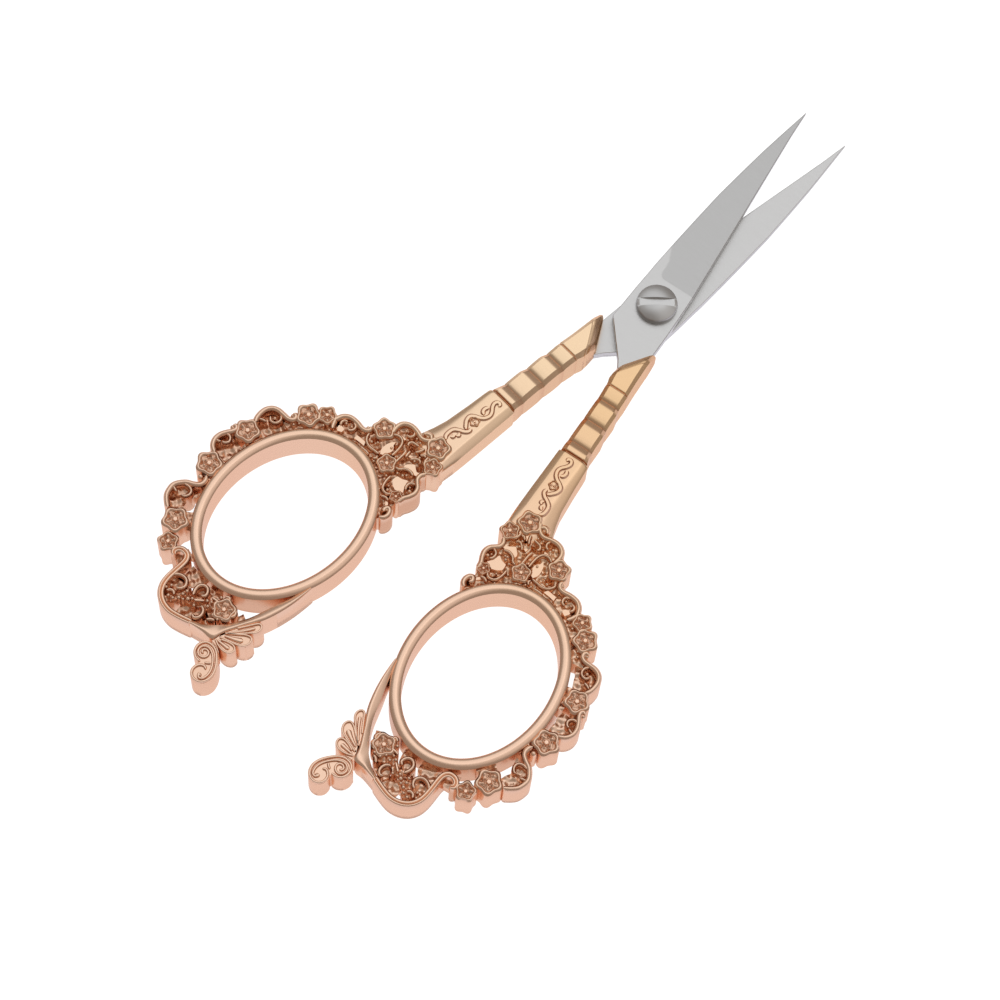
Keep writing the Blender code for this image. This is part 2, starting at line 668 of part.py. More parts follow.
first_handle = make_handle()
second_handle = link_object("second_handle", first_handle.data.copy(), workshop)
fit_out(first_handle, "lower_handle", casting, lower_half)
fit_out(turned_over(second_handle), "upper_handle", casting, upper_half)
fit_out(make_blade("lower_plate", SCREW_THREAD_CLEARANCE), "lower_blade", steel, lower_half)
fit_out(turned_over(make_blade("upper_plate", SCREW_RUNNING_CLEARANCE)), "upper_blade", steel, upper_half)
fit_out(make_screw(), "pivot_screw", screw_steel, lower_half)

# The origin is in the middle of the box that the tool fills at rest, on the surface it lies on
bpy.context.view_layer.update()
corners = [piece.matrix_world @ vertex.co for piece in scissors.objects if piece.type == "MESH"
           for vertex in piece.data.vertices]
middle_x = (min(c.x for c in corners) + max(c.x for c in corners)) / 2
middle_y = (min(c.y for c in corners) + max(c.y for c in corners)) / 2
pivot.location = (-middle_x, -middle_y, -min(c.z for c in corners))
bpy.context.view_layer.update()
print("pivot at", [round(value, 6) for value in pivot.location])
for piece in scissors.objects:
    if piece.type == "MESH":
        print(piece.name, len(piece.data.vertices), sum(len(p.vertices) - 2 for p in piece.data.polygons))
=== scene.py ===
import json
import math
import bpy
import numpy as np
from mathutils import Matrix


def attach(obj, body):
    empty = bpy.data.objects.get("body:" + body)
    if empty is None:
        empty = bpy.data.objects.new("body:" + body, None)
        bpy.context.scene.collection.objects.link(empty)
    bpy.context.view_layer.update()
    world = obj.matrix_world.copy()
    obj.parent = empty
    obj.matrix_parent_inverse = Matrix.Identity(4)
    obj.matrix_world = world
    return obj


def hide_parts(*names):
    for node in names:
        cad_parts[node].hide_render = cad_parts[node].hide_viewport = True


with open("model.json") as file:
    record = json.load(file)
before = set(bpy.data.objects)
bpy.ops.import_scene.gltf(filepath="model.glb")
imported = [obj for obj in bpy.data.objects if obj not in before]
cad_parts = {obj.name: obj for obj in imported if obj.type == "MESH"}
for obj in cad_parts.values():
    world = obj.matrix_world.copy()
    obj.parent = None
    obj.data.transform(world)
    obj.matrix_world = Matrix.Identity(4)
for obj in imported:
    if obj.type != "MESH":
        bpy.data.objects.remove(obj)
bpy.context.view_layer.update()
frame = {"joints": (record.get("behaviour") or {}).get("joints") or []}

# Blades: two flat-ground stainless steel blades, laser cut from 1.45 mm strip and ground on their
# outer faces, so that each thins from the spine to a cutting edge. They lie flat on one another,
# and their tangs are cast into the handles. Sizes are millimetres in a half's own closed frame.
PIVOT = np.array(frame["joints"][0]["pos_m"][:2]) * 1000
HALF_OPEN = math.radians(-frame["joints"][0]["range_deg"][0] / 2)
THICK = 6.0
HALVES = (("lower", 1), ("upper", -1))
NO_TRIANGLES = np.zeros((0, 3), int)


def seat(points, side):
    """Millimetres in a half's own closed frame to metres in the frame: the upper half is first turned
    over about the long axis, then each half is turned by half of the opening about the pivot."""
    x, y, z = np.asarray(points, float).T
    if side < 0:
        y = -y
        z = THICK - z
    turn = -side * HALF_OPEN
    turned_x = x * math.cos(turn) - y * math.sin(turn)
    turned_y = x * math.sin(turn) + y * math.cos(turn)
    return np.stack([turned_x + PIVOT[0], turned_y + PIVOT[1], z], 1) / 1000


def solid(name, shells, side, material, crease=30):
    """Closed shells (points, quads, triangles, painted shading) joined into one mesh. A shell whose signed
    volume, the sum of a . (b x c) / 6 over its triangles, is negative is turned inside out. The fourth
    part says how deep in the relief each point lies. It is painted shade, in a few places painted
    light, and becomes the attribute that tones the metal's colour."""
    points = []
    faces = []
    hollow = []
    start = 0
    for corners, quads, triangles, depth in shells:
        placed = seat(corners, side)
        split = [quads[:, (0, 1, 2)], quads[:, (0, 2, 3)]]
        if len(triangles):
            split.append(triangles)
        a, b, c = (placed[np.vstack(split)[:, k]] for k in range(3))
        if np.einsum("ij,ij->i", a, np.cross(b, c)).sum() < 0:
            quads = quads[:, ::-1]
            triangles = triangles[:, ::-1] if len(triangles) else triangles
        faces += (quads + start).tolist()
        if len(triangles):
            faces += (triangles + start).tolist()
        points.append(placed)
        hollow.append(np.broadcast_to(depth, len(placed)))
        start += len(placed)
    mesh = bpy.data.meshes.new(name)
    mesh.from_pydata(np.vstack(points).tolist(), [], faces)
    mesh.polygons.foreach_set("use_smooth", np.ones(len(mesh.polygons), bool))
    mesh.set_sharp_from_angle(angle=math.radians(crease))
    # The attribute holds painted shade, and in a few places painted light.
    layer = mesh.attributes.new("hollow", "FLOAT", "POINT")
    layer.data.foreach_set("value", np.concatenate(hollow).astype(np.float32))
    mesh.materials.append(material)
    piece = bpy.data.objects.new(name, mesh)
    bpy.context.collection.objects.link(piece)
    return piece


def grid_quads(rows, columns, wrap_columns=False):
    """Quads of a grid of rows x columns points, whose last column joins the first when it wraps."""
    reach = columns if wrap_columns else columns - 1
    r, c = np.meshgrid(np.arange(rows - 1), np.arange(reach), indexing="ij")
    across = (c + 1) % columns
    quads = [r * columns + c, r * columns + across, (r + 1) * columns + across, (r + 1) * columns + c]
    return np.stack([q.ravel() for q in quads], 1)


def pillow(upper, lower, hollow=0.0):
    """Closed shell between two grids of the same shape: both grids, and one strip round their edges.
    'hollow' is one number, or an array for the upper grid or for both."""
    rows, columns = upper.shape[:2]
    count = rows * columns
    sheet = grid_quads(rows, columns)
    ids = np.arange(count).reshape(rows, columns)
    rim = np.concatenate([ids[0, :-1], ids[:-1, -1], ids[-1, :0:-1], ids[:0:-1, 0]])
    after = np.roll(rim, -1)
    strip = np.stack([rim, rim + count, after + count, after], 1)
    points = np.vstack([upper.reshape(-1, 3), lower.reshape(-1, 3)])
    if np.size(hollow) == count:
        hollow = np.concatenate([hollow, np.zeros(count)])
    return points, np.vstack([sheet, sheet[:, ::-1] + count, strip]), NO_TRIANGLES, hollow


def linear(code):
    """sRGB hex to linear: v / 12.92 below 0.04045, else ((v + 0.055) / 1.055) ** 2.4."""
    values = [int(code[k:k + 2], 16) / 255 for k in (1, 3, 5)]
    return tuple(v / 12.92 if v < 0.04045 else ((v + 0.055) / 1.055) ** 2.4 for v in values) + (1.0,)


def add(tree, kind, feeds=None, **settings):
    """Adds a node: settings are its own properties, feeds gives each input a value or a link."""
    node = tree.nodes.new("ShaderNode" + kind)
    for key, value in settings.items():
        setattr(node, key, value)
    for key, value in (feeds or {}).items():
        if isinstance(value, bpy.types.NodeSocket):
            tree.links.new(value, node.inputs[key])
        else:
            node.inputs[key].default_value = value
    return node


def new_material(name):
    """A material and its node tree, emptied."""
    material = bpy.data.materials.new(name)
    material.use_nodes = True
    material.node_tree.nodes.clear()
    return material, material.node_tree


def metal_with_painted_shading(tree, open_tone, painted_tone, gloss, more=None):
    """Metal whose colour the attribute mixes from its open tone to a painted one: painted shade deep
    in the relief, painted light in the screw's slot. It is joined to the material's output.
    """
    sunk = add(tree, "Attribute", attribute_name="hollow").outputs["Fac"]
    tone = add(tree, "Mix", {"Factor": sunk, 6: open_tone, 7: painted_tone}, data_type="RGBA").outputs[2]
    feeds = {"Base Color": tone, "Metallic": 1.0, "Roughness": gloss, **(more or {})}
    surface = add(tree, "BsdfPrincipled", feeds).outputs["BSDF"]
    add(tree, "OutputMaterial", {"Surface": surface})


# The eye sees a soft grey satin: fine grinding lines across the blade blur every reflection, and
# the ground face is painted a little darker, as shade. The lines are 0.11 mm apart, coarser than
# real ones, to show.
steel, tree = new_material("ground_stainless_steel")
place = add(tree, "TexCoord").outputs["Object"]
along = add(tree, "Mapping", {"Vector": place, "Scale": (9000, 400, 400)}).outputs["Vector"]
lines = add(tree, "TexNoise", {"Vector": along, "Scale": 1.0, "Detail": 2.0}).outputs["Fac"]
gloss = add(tree, "MapRange", {"Value": lines, "To Min": 0.3, "To Max": 0.4}).outputs["Result"]
# The second tone is painted shade on the ground face.
metal_with_painted_shading(tree, linear("#CDCDCD"), linear("#BCBCBC"), gloss)

SPINE = [(-12.6, 2.2), (-11.5, 0.85), (-10.3, 0.13), (-4.9, -4.35), (-2.4, -4.2), (0.7, -4.1), (4.2, -3.9),
         (5.7, -3.85), (10.7, -3.5), (15.7, -3.1), (20.8, -2.65), (25.8, -2.0), (30.8, -1.3), (35.8, -0.45),
         (40.15, 0.33)]
EDGE = [(-11.5, 4), (-10.5, 4), (-9.5, 4), (-6.3, 4), (-3, 3.95), (0.7, 3.8), (4.2, 3.6),
        (5.7, 3.46), (10.7, 2.99), (15.7, 2.53), (20.8, 2.05), (25.8, 1.58), (30.8, 1.11), (35.8, 0.65),
        (40.15, 0.37)]
INNER_Z = 2.95
OUTER_Z = 1.5
THINNEST = 0.06
EDGE_ROUNDING = 0.11
CREASE_X = 4.1
CREASE_CORNER = 0.9
CREASE_SOFTNESS = 0.12
CREASE_STEP = 0.02
TAPER = 0.75
TAPER_LENGTH = 36
MOST_FALL = 1.2


def blade():
    """Ruled surface between spine and edge. Past a crease across the blade, and below a narrow band
    along the spine, the outer face is ground: it falls evenly to the tip, and is painted darker as shade."""
    knots = np.arange(len(SPINE))
    fine = np.unique(np.concatenate([np.linspace(k, k + 1, 24) for k in knots[:-1]]))
    spine, edge = (np.stack([np.interp(fine, knots, np.array(side)[:, k]) for k in (0, 1)], 1)
                   for side in (SPINE, EDGE))
    width = np.linalg.norm(edge - spine, axis=1)[:, None]
    rim = np.minimum(np.array([0.0, 0.04, 0.11, 0.2])[None, :] / np.maximum(width, 0.05), 0.2)
    middle = rim[:, -1:] + (1 - 2 * rim[:, -1:]) * np.linspace(0, 1, 41)[None, 1:-1]
    t = np.concatenate([rim, middle, 1 - rim[:, ::-1]], 1)
    flat = spine[:, None, :] * (1 - t[..., None]) + edge[:, None, :] * t[..., None]
    x, y = flat[..., 0], flat[..., 1]
    inset = np.minimum(t, 1 - t) * width
    soft = EDGE_ROUNDING * np.clip(1 - inset / EDGE_ROUNDING, 0, 1) ** 2
    past = np.clip(x - CREASE_X, 0, None)
    band_edge = -2.35 - 0.09 * (x - 5) - 0.35 * np.clip(x - 7, 0, None)
    below = y - band_edge
    ground = CREASE_CORNER - np.hypot(np.clip(CREASE_CORNER - past, 0, None),
                                      np.clip(CREASE_CORNER - below, 0, None))
    ground = np.clip(ground / CREASE_SOFTNESS, 0, 1) * (x > CREASE_X)
    fall = np.minimum(CREASE_STEP * ground + TAPER * past / TAPER_LENGTH, MOST_FALL)
    outer = OUTER_Z + fall + soft * (1 - fall / 1.3)
    inner = np.full_like(outer, INNER_Z) - soft * 0.4
    outer = np.minimum(outer, inner - THINNEST)
    # The ground face gets the painted shade.
    hollow = np.concatenate([np.zeros(x.size), ground.ravel()])
    return pillow(np.dstack([x, y, inner]), np.dstack([x, y, outer]), hollow)


for half, side in HALVES:
    piece = solid(f"{half}_blade_ground", [blade()], side, steel)
    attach(piece, f"{half}_half")
    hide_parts(f"{half}_blade")

# Pivot screw: a turned steel pin with a slotted domed head, screwed through both blades and riveted
# flush below. The head stands on the upper blade.
# The eye sees turned steel, a little darker than the blades, with the floor of the slot painted paler,
# as light. Its grain is 0.7 mm across, coarser than the real one, to show.
screw_metal, tree = new_material("turned_steel_screw")
place = add(tree, "TexCoord").outputs["Object"]
grain = add(tree, "TexNoise", {"Vector": place, "Scale": 1500.0, "Detail": 2.0}).outputs["Fac"]
gloss = add(tree, "MapRange", {"Value": grain, "To Min": 0.26, "To Max": 0.36}).outputs["Result"]
# The second tone is painted light on the slot's floor.
metal_with_painted_shading(tree, linear("#BEBEBE"), linear("#CACACA"), gloss)

HEAD_RADIUS = 3.02
HEAD_TOP = 6.07
HEAD_BACK = 4.52
DOME = 0.7
RIM_FALL = 0.4
SLOT_HALF = 0.6
SLOT_DEPTH = 0.4
SLOT_TURN = math.radians(-50) + HALF_OPEN
SIDE_ROWS = 26
SLOT_ROWS = 9
CHORD_POINTS = 61


def screw_head():
    """Disc ruled by chords along the slot: its height is its top less 0.7 (r / R)^2.2, with a rounded
    rim, and rows are doubled at the slot's two sides, so that its walls stand upright."""
    bow = np.sin(np.linspace(-math.pi / 2, math.pi / 2, CHORD_POINTS))
    slot_edge = math.asin(SLOT_HALF / HEAD_RADIUS)
    beside = np.sin(np.linspace(slot_edge, math.pi / 2 - 0.02, SIDE_ROWS)) * HEAD_RADIUS
    rows = np.concatenate([-beside[::-1], np.linspace(-SLOT_HALF, SLOT_HALF, SLOT_ROWS), beside])
    # The slot's rows carry the painted light.
    in_slot = np.repeat([0.0, 1.0, 0.0], [SIDE_ROWS, SLOT_ROWS, SIDE_ROWS])
    q = np.repeat(rows[:, None], len(bow), 1)
    p = np.sqrt(np.maximum(HEAD_RADIUS ** 2 - q ** 2, 1e-6)) * bow[None, :]
    r = np.hypot(p, q) / HEAD_RADIUS
    top = HEAD_TOP - DOME * r ** 2.2 - RIM_FALL * np.clip((r - 0.95) / 0.05, 0, 1) ** 2
    top = np.where(in_slot[:, None] > 0, np.minimum(THICK - SLOT_DEPTH, top), top)
    x = p * math.cos(SLOT_TURN) - q * math.sin(SLOT_TURN)
    y = p * math.sin(SLOT_TURN) + q * math.cos(SLOT_TURN)
    back = np.full_like(x, HEAD_BACK)
    return pillow(np.dstack([x, y, top]), np.dstack([x, y, back]), np.repeat(in_slot, len(bow)))


def with_poles(rings, poles):
    """Rings of points, joined in their order and closed at each end by a fan to a pole."""
    count, steps = rings.shape[:2]
    here = np.arange(steps)
    after = (here + 1) % steps
    last = (count - 1) * steps
    fans = np.vstack([np.stack([np.full(steps, last + steps), after, here], 1),
                      np.stack([np.full(steps, last + steps + 1), last + here, last + after], 1)])
    return np.vstack([rings.reshape(-1, 3), poles]), grid_quads(count, steps, True), fans


def lathe(profile, steps=72, centre=(0, 0), hollow=0.0):
    """Profile (radius, height) turned about an upright axis, on which its two end points lie."""
    profile = np.array(profile, float)
    angle = np.linspace(0, 2 * math.pi, steps, endpoint=False)
    rings = np.dstack([profile[1:-1, :1] * np.cos(angle), profile[1:-1, :1] * np.sin(angle),
                       np.repeat(profile[1:-1, 1:], steps, 1)])
    points, quads, fans = with_poles(rings, [[0, 0, profile[0, 1]], [0, 0, profile[-1, 1]]])
    return points + (centre[0], centre[1], 0), quads, fans, hollow


PIN = [(0, 1.25), (1.2, 1.25), (1.32, 1.3), (1.45, 1.45), (1.5, 1.55), (1.5, 4.55), (0, 4.55)]
piece = solid("pivot_screw_turned", [screw_head(), lathe(PIN)], 1, screw_metal)
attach(piece, "lower_half")
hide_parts("pivot_screw")

# Shank, stepped neck and collar: the smooth part of each die-cast zinc handle, polished and plated
# rose gold. The collar's slanted mouth grips the blade's tang.
# The eye sees a satin metal, pale gold at the collar and pinker at the rings. Browner recesses are
# painted shade, and so is the darker collar of the upper half.
# Its cast grain is about 1 mm across, coarser than the real one, to show.
gold, tree = new_material("rose_gold_plated_die_cast_zinc")
place = add(tree, "TexCoord").outputs["Object"]
apart = add(tree, "SeparateXYZ", {"Vector": place})
toward_ring = add(tree, "MapRange", {
    "Value": apart.outputs["X"], "From Min": 0.005, "From Max": -0.03,
}).outputs["Result"]
# Painted shade: the upper half's collar, the same casting as the lower's, is a darker gold.
upper_half_painted_shade = add(tree, "MapRange", {
    "Value": apart.outputs["Y"], "From Min": 0.003, "From Max": -0.003,
}).outputs["Result"]
collar_tone = add(tree, "Mix", {
    "Factor": upper_half_painted_shade, 6: linear("#F4D6B2"), 7: linear("#EDC79B"),
}, data_type="RGBA").outputs[2]
face_tone = add(tree, "Mix", {"Factor": toward_ring, 6: collar_tone, 7: linear("#F2CDB4")},
                data_type="RGBA").outputs[2]
grain = add(tree, "TexNoise", {"Vector": place, "Scale": 900.0, "Detail": 3.0}).outputs["Fac"]
gloss = add(tree, "MapRange", {"Value": grain, "To Min": 0.22, "To Max": 0.3}).outputs["Result"]
bump = add(tree, "Bump", {"Height": grain, "Strength": 0.15, "Distance": 0.00004}).outputs["Normal"]
# The second tone, #D3A68B, is painted shade in recesses, steps and enclosed walls.
metal_with_painted_shading(tree, face_tone, linear("#D3A68B"), gloss, {"Normal": bump, "Specular Tint": linear("#F9E3D1")})

# Each row: place along the handle, front outline's top and bottom, depth of the face below 6 mm, the
# width and fall of the rounding along the top side, the same along the bottom side, how far the
# rounding is a straight chamfer instead, and how much painted shade darkens the step. The five
# numbers of the rounding are named where they stay the same along a pad.
FIRST_PAD = (0.5, 0.42, 0.65, 0.56, 1)
SECOND_PAD = (0.5, 0.42, 0.62, 0.54, 1)
THIRD_PAD = (0.5, 0.42, 0.6, 0.52, 1)
NECK = [
    (-41.5, 7.8, 1.7, 0.6, 3, 1, 1.1, 0.64, 0, 0),
    (-39, 8.2, 1.52, 0.54, 3.4, 1, 1.1, 0.64, 0.5, 0),
    (-37, 7.55, 1.48, 0.46, 2.6, 0.9, 1.1, 0.62, 0.85, 0),
    (-35, 7.05, 1.46, 0.4, 2.1, 0.75, 1.1, 0.62, 0.85, 0),
    (-31, 6.62, 1.44, 0.34, 1.6, 0.6, 1.1, 0.62, 0.85, 0),
    (-28.2, 6.4, 1.42, 0.3, 1.3, 0.5, 1.05, 0.62, 0.85, 0),
    (-27.3, 6.3, 1.42, 0.28, 1.2, 0.5, 1, 0.62, 0.85, 0),
    (-27.16, 6.22, 1.46, 0.36, 1.1, 0.5, 1, 0.65, 1, 0.3),
    (-27.08, 6.15, 1.5, 0.56, 0.9, 0.5, 1, 0.75, 1, 0.8),
    (-26.98, 6.05, 1.62, 0.5, 0.8, 0.5, 0.75, 0.65, 1, 0.6),
    (-26.88, 5.95, 1.66, 0.16, 0.6, 0.5, 0.72, 0.62, 1, 0.2),
    (-26.78, 5.9, 1.66, 0.12, 0.5, 0.45, 0.7, 0.6, 1, 0),
    (-26.3, 5.75, 1.64, 0.12, 0.5, 0.45, 0.7, 0.6, 1, 0),
    (-26.1, 5.7, 1.63, 0.15, 0.5, 0.45, 0.7, 0.6, 1, 0.3),
    (-25.15, 5.56, 1.62, 0.56, *FIRST_PAD, 0.6),
    (-24.92, 5.55, 1.62, 0.42, *FIRST_PAD, 0.1),
    (-24.5, 5.53, 1.61, 0.32, *FIRST_PAD, 0),
    (-23.9, 5.5, 1.6, 0.25, *FIRST_PAD, 0),
    (-22.9, 5.47, 1.58, 0.2, *FIRST_PAD, 0),
    (-22.3, 5.45, 1.57, 0.21, *FIRST_PAD, 0),
    (-22.1, 5.42, 1.56, 0.24, *FIRST_PAD, 0.3),
    (-21.1, 5.25, 1.53, 0.64, *SECOND_PAD, 0.6),
    (-20.87, 5.23, 1.52, 0.46, *SECOND_PAD, 0.1),
    (-20.5, 5.22, 1.52, 0.35, *SECOND_PAD, 0),
    (-19.9, 5.2, 1.5, 0.26, *SECOND_PAD, 0),
    (-19, 5.18, 1.47, 0.2, *SECOND_PAD, 0),
    (-18.4, 5.15, 1.46, 0.21, *SECOND_PAD, 0),
    (-18.2, 5.1, 1.45, 0.24, *SECOND_PAD, 0.3),
    (-17.4, 4.94, 1.42, 0.56, *THIRD_PAD, 0.6),
    (-17.18, 4.92, 1.42, 0.38, *THIRD_PAD, 0.1),
    (-16.8, 4.9, 1.4, 0.27, *THIRD_PAD, 0),
    (-16.2, 4.88, 1.36, 0.19, *THIRD_PAD, 0),
    (-15.6, 4.86, 1.3, 0.13, *THIRD_PAD, 0),
    (-15.2, 4.84, 1.28, 0.12, *THIRD_PAD, 0),
    (-15.08, 4.83, 1.28, 0.16, *THIRD_PAD, 0.6),
    (-15.02, 4.83, 1.27, 0.26, *THIRD_PAD, 0.5),
    (-14.97, 4.82, 1.27, 0.26, *THIRD_PAD, 0.5),
    (-14.88, 4.81, 1.26, 0.06, *THIRD_PAD, 0.2),
    (-14.8, 4.8, 1.25, 0.02, *THIRD_PAD, 0),
    (-12, 4.6, 1.1, 0, 0.52, 0.43, 0.6, 0.54, 1, 0),
    (-8.45, 4.45, 1, 0, 0.55, 0.45, 0.6, 0.56, 1, 0),
    (-8.32, 4.45, 1, 0.05, 0.55, 0.45, 0.7, 0.65, 1, 0.4),
    (-8.22, 4.45, 0.99, 0.03, 0.55, 0.45, 0.7, 0.65, 1, 0.1),
    (-7.75, 4.45, 0.98, 0.14, 0.5, 0.45, 0.65, 0.65, 1, 0.1),
    (-7.62, 4.45, 0.97, 0.2, 0.5, 0.45, 0.6, 0.65, 1, 0.4),
    (-6.9, 4.45, 0.96, 0.66, 0.45, 0.45, 0.5, 0.65, 1, 0.5),
    (-6.3, 4.45, 0.95, 1.12, 0.4, 0.4, 0.4, 0.5, 1, 0.5),
    (-6.05, 4.45, 0.96, 1.45, 0.4, 0.4, 0.4, 0.5, 1, 0.2),
    (-6, 4.45, 0.98, 1.7, 0.4, 0.4, 0.4, 0.5, 1, 0),
]
NECK_FROM = -26.9
MOUTH_FROM = -14.7
MOUTH_LENGTH = 5.9
MOUTH_TOP = 4.45
MOUTH_SLANT = 1.5
NOSE_FROM = 3.5
NOSE_BLUNTNESS = 0.9
# Painted shade on the low chamfer.
LOW_CHAMFER_PAINTED_SHADE = 0.25
RUN_POINTS = 8


def two_faced(x, y, z, hollow, closed=False):
    """Shell of front sections, one a row, each joined to itself turned over at mid depth. Its ends are
    capped, or on a closed path its last section joins the first."""
    x, y, hollow = (np.concatenate([part, part[:, ::-1]], 1) for part in (x, y, hollow))
    z = np.concatenate([z, THICK - z[:, ::-1]], 1)
    rows, count = x.shape
    last = (rows - 1) * count
    if closed:
        here = np.arange(count)
        after = (here + 1) % count
        ends = [np.stack([last + here, last + after, after, here], 1)]
    else:
        cap = np.arange(count // 2 - 1)
        cap = np.stack([cap, cap + 1, count - 2 - cap, count - 1 - cap], 1)
        ends = [cap[:, ::-1], cap + last]
    quads = np.vstack([grid_quads(rows, count, True), *ends])
    return np.dstack([x, y, z]).reshape(-1, 3), quads, NO_TRIANGLES, hollow.ravel()


def handle_body():
    """Loft through the rows above. Each section is a box whose edges blend a quarter ellipse with a
    chamfer, but along the shank the top one falls by the 2.2th power of the way out. Toward the
    mouth each point slides back by its distance below the mouth's top times the slant, and near the
    nose by the square of its height past a start, which blunts it. The steps and the low chamfer
    are painted darker, as shade."""
    rows = np.array(NECK)
    way = np.concatenate([np.linspace(a, b, max(2, int(abs(b - a) / 0.3) + 1), endpoint=False)
                          for a, b in zip(rows[:-1, 0], rows[1:, 0])] + [rows[-1:, 0]])
    high, low, sunk, wide_high, fall_high, wide_low, fall_low, straight, step_painted_shade = (
        np.interp(way, rows[:, 0], rows[:, k])[:, None] for k in range(1, 10))
    way = way[:, None]
    arc = np.linspace(0, math.pi / 2, RUN_POINTS)[None, :]
    line = np.linspace(0, 1, RUN_POINTS)[None, :]
    out = (1 - np.cos(arc)) * (1 - straight) + line * straight
    down = (1 - np.sin(arc)) * (1 - straight) + (1 - line) * straight
    on_shank = np.clip((NECK_FROM - way) / 0.2, 0, 1)
    out_high = out * (1 - on_shank) + (line * 0.3 + 0.7 * (1 - np.cos(arc))) * on_shank
    down_high = down * (1 - on_shank) + (1 - out_high) ** 2.2 * on_shank
    face = THICK - sunk
    middle = np.linspace(0, 1, RUN_POINTS + 2)[None, 1:-1]
    y = np.concatenate([
        high - wide_high * out_high,
        high - wide_high + (low + wide_low - high + wide_high) * middle,
        low + wide_low * out[:, ::-1],
    ], 1)
    z = np.concatenate([
        face - fall_high * down_high,
        np.repeat(face, RUN_POINTS, 1),
        face - fall_low * down[:, ::-1],
    ], 1)
    slide = np.clip((way - MOUTH_FROM) / MOUTH_LENGTH, 0, 1)
    back = (np.clip(MOUTH_TOP - y, 0, None) * MOUTH_SLANT
            + np.clip(y - NOSE_FROM, 0, None) ** 2 * NOSE_BLUNTNESS)
    on_chamfer = (np.arange(y.shape[1]) > 2 * RUN_POINTS) & (way > NECK_FROM - 0.2)
    # The steps and the low chamfer get painted shade.
    return two_faced(way - back * slide, y, z, np.maximum(step_painted_shade, LOW_CHAMFER_PAINTED_SHADE * on_chamfer))


def cast_piece(name, shells, crease=38):
    """The same cast shells for both halves, each riding on its own half and standing for its handle."""
    for half, side in HALVES:
        piece = solid(f"{half}_{name}", shells, side, gold, crease)
        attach(piece, f"{half}_half")
        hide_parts(f"{half}_handle")


cast_piece("shank_and_collar", [handle_body()])

# Finger ring: an oval hoop cast in one with the handle, its front and back rolled to a polished bead
# and its walls left straight for the mould.
RING_CENTRE = np.array([-61.5, 11.7])
RING_LONG = 14.5
RING_SHORT = 11.45
RING_WIDTH = 1.65
RING_WALL = 1.6
HALF_ARC = 49
BARE_WALL = (235, 312)
# Painted shade on the ring's outer wall and the arc's edge, where openwork stands round them.
WALL_PAINTED_SHADE = (0.9, 0.6)


def lengths(path):
    """How far along a path each of its points lies."""
    return np.concatenate([[0], np.cumsum(np.linalg.norm(np.diff(path, axis=0), axis=1))])


def smooth(points, step=0.12, ends=0.0):
    """Curve through the points: on each run of four, the Catmull-Rom cubic; then points at equal
    lengths along it, with a few more near both ends for their rounding."""
    p = np.asarray(points, float)
    p = np.vstack([2 * p[:1] - p[1:2], p, 2 * p[-1:] - p[-2:-1]])
    t = np.linspace(0, 1, 24, endpoint=False)[None, :, None]
    count = len(p) - 3
    a, b, c, d = (p[k:count + k, None, :] for k in range(4))
    curve = 0.5 * (2 * b + (c - a) * t + (2 * a - 5 * b + 4 * c - d) * t ** 2
                   + (3 * b - a - 3 * c + d) * t ** 3)
    curve = np.vstack([curve.reshape(-1, 2), p[-2:-1]])
    gone = lengths(curve)
    places = np.linspace(0, gone[-1], max(6, round(gone[-1] / step)) + 1)
    if ends:
        near = ends * np.array([0.0, 0.06, 0.2, 0.42, 0.7])
        middle = places[(places > ends) & (places < gone[-1] - ends)]
        places = np.concatenate([near, middle, gone[-1] - near[::-1]])
    return np.stack([np.interp(places, gone, curve[:, k]) for k in (0, 1)], 1)


def bar(path, half_width, across, drop, hollow, top=THICK, closed=False):
    """Path widened into a bar. Its section goes out by 'across' half-widths at 'drop' below the top,
    and comes back below, turned over at mid depth. Open ends narrow as the root of 1 - (1 - s)^2."""
    if closed:
        tangent = np.roll(path, -1, 0) - np.roll(path, 1, 0)
    else:
        tangent = np.gradient(path, axis=0)
    tangent /= np.maximum(np.linalg.norm(tangent, axis=1, keepdims=True), 1e-9)
    half = np.broadcast_to(half_width, len(path)).astype(float)[:, None]
    if not closed:
        gone = lengths(path)
        left = np.minimum(gone, gone[-1] - gone)[:, None] / np.maximum(half, 1e-6)
        half = half * np.sqrt(np.clip(1 - (1 - np.clip(left, 0, 1)) ** 2, 0.01, 1))
    across = np.asarray(across)[None, :]
    x = path[:, :1] - tangent[:, 1:] * half * across
    y = path[:, 1:] + tangent[:, :1] * half * across
    z = np.broadcast_to(top, len(path)).astype(float)[:, None] - np.asarray(drop)[None, :]
    return two_faced(x, y, z, np.broadcast_to(hollow, x.shape), closed)


def ring():
    """Ellipse swept by a bar whose top is an arc of 98 degrees, over straight walls. Its outer wall
    and the arc's edge are painted darker as shade, apart from the stretch with no openwork round it."""
    angle = np.linspace(0, 2 * math.pi, 420, endpoint=False)
    long = RING_LONG - RING_WIDTH / 2
    short = RING_SHORT - RING_WIDTH / 2
    path = RING_CENTRE + np.stack([long * np.cos(angle), short * np.sin(angle)], 1)
    turn = np.radians(np.linspace(HALF_ARC, -HALF_ARC, 23))
    bow = RING_WIDTH / 2 / math.sin(turn[0])
    across = np.concatenate([[1.0], np.sin(turn) / math.sin(turn[0]), [-1.0]])
    drop = np.concatenate([[RING_WALL], bow * (1 - np.cos(turn)), [RING_WALL]])
    enclosed = (angle < math.radians(BARE_WALL[0])) | (angle > math.radians(BARE_WALL[1]))
    hollow = np.zeros((len(angle), len(across)))
    hollow[:, -2:] = enclosed[:, None] * WALL_PAINTED_SHADE
    return bar(path, RING_WIDTH / 2, across, drop, hollow, closed=True)


cast_piece("finger_ring", [ring()])

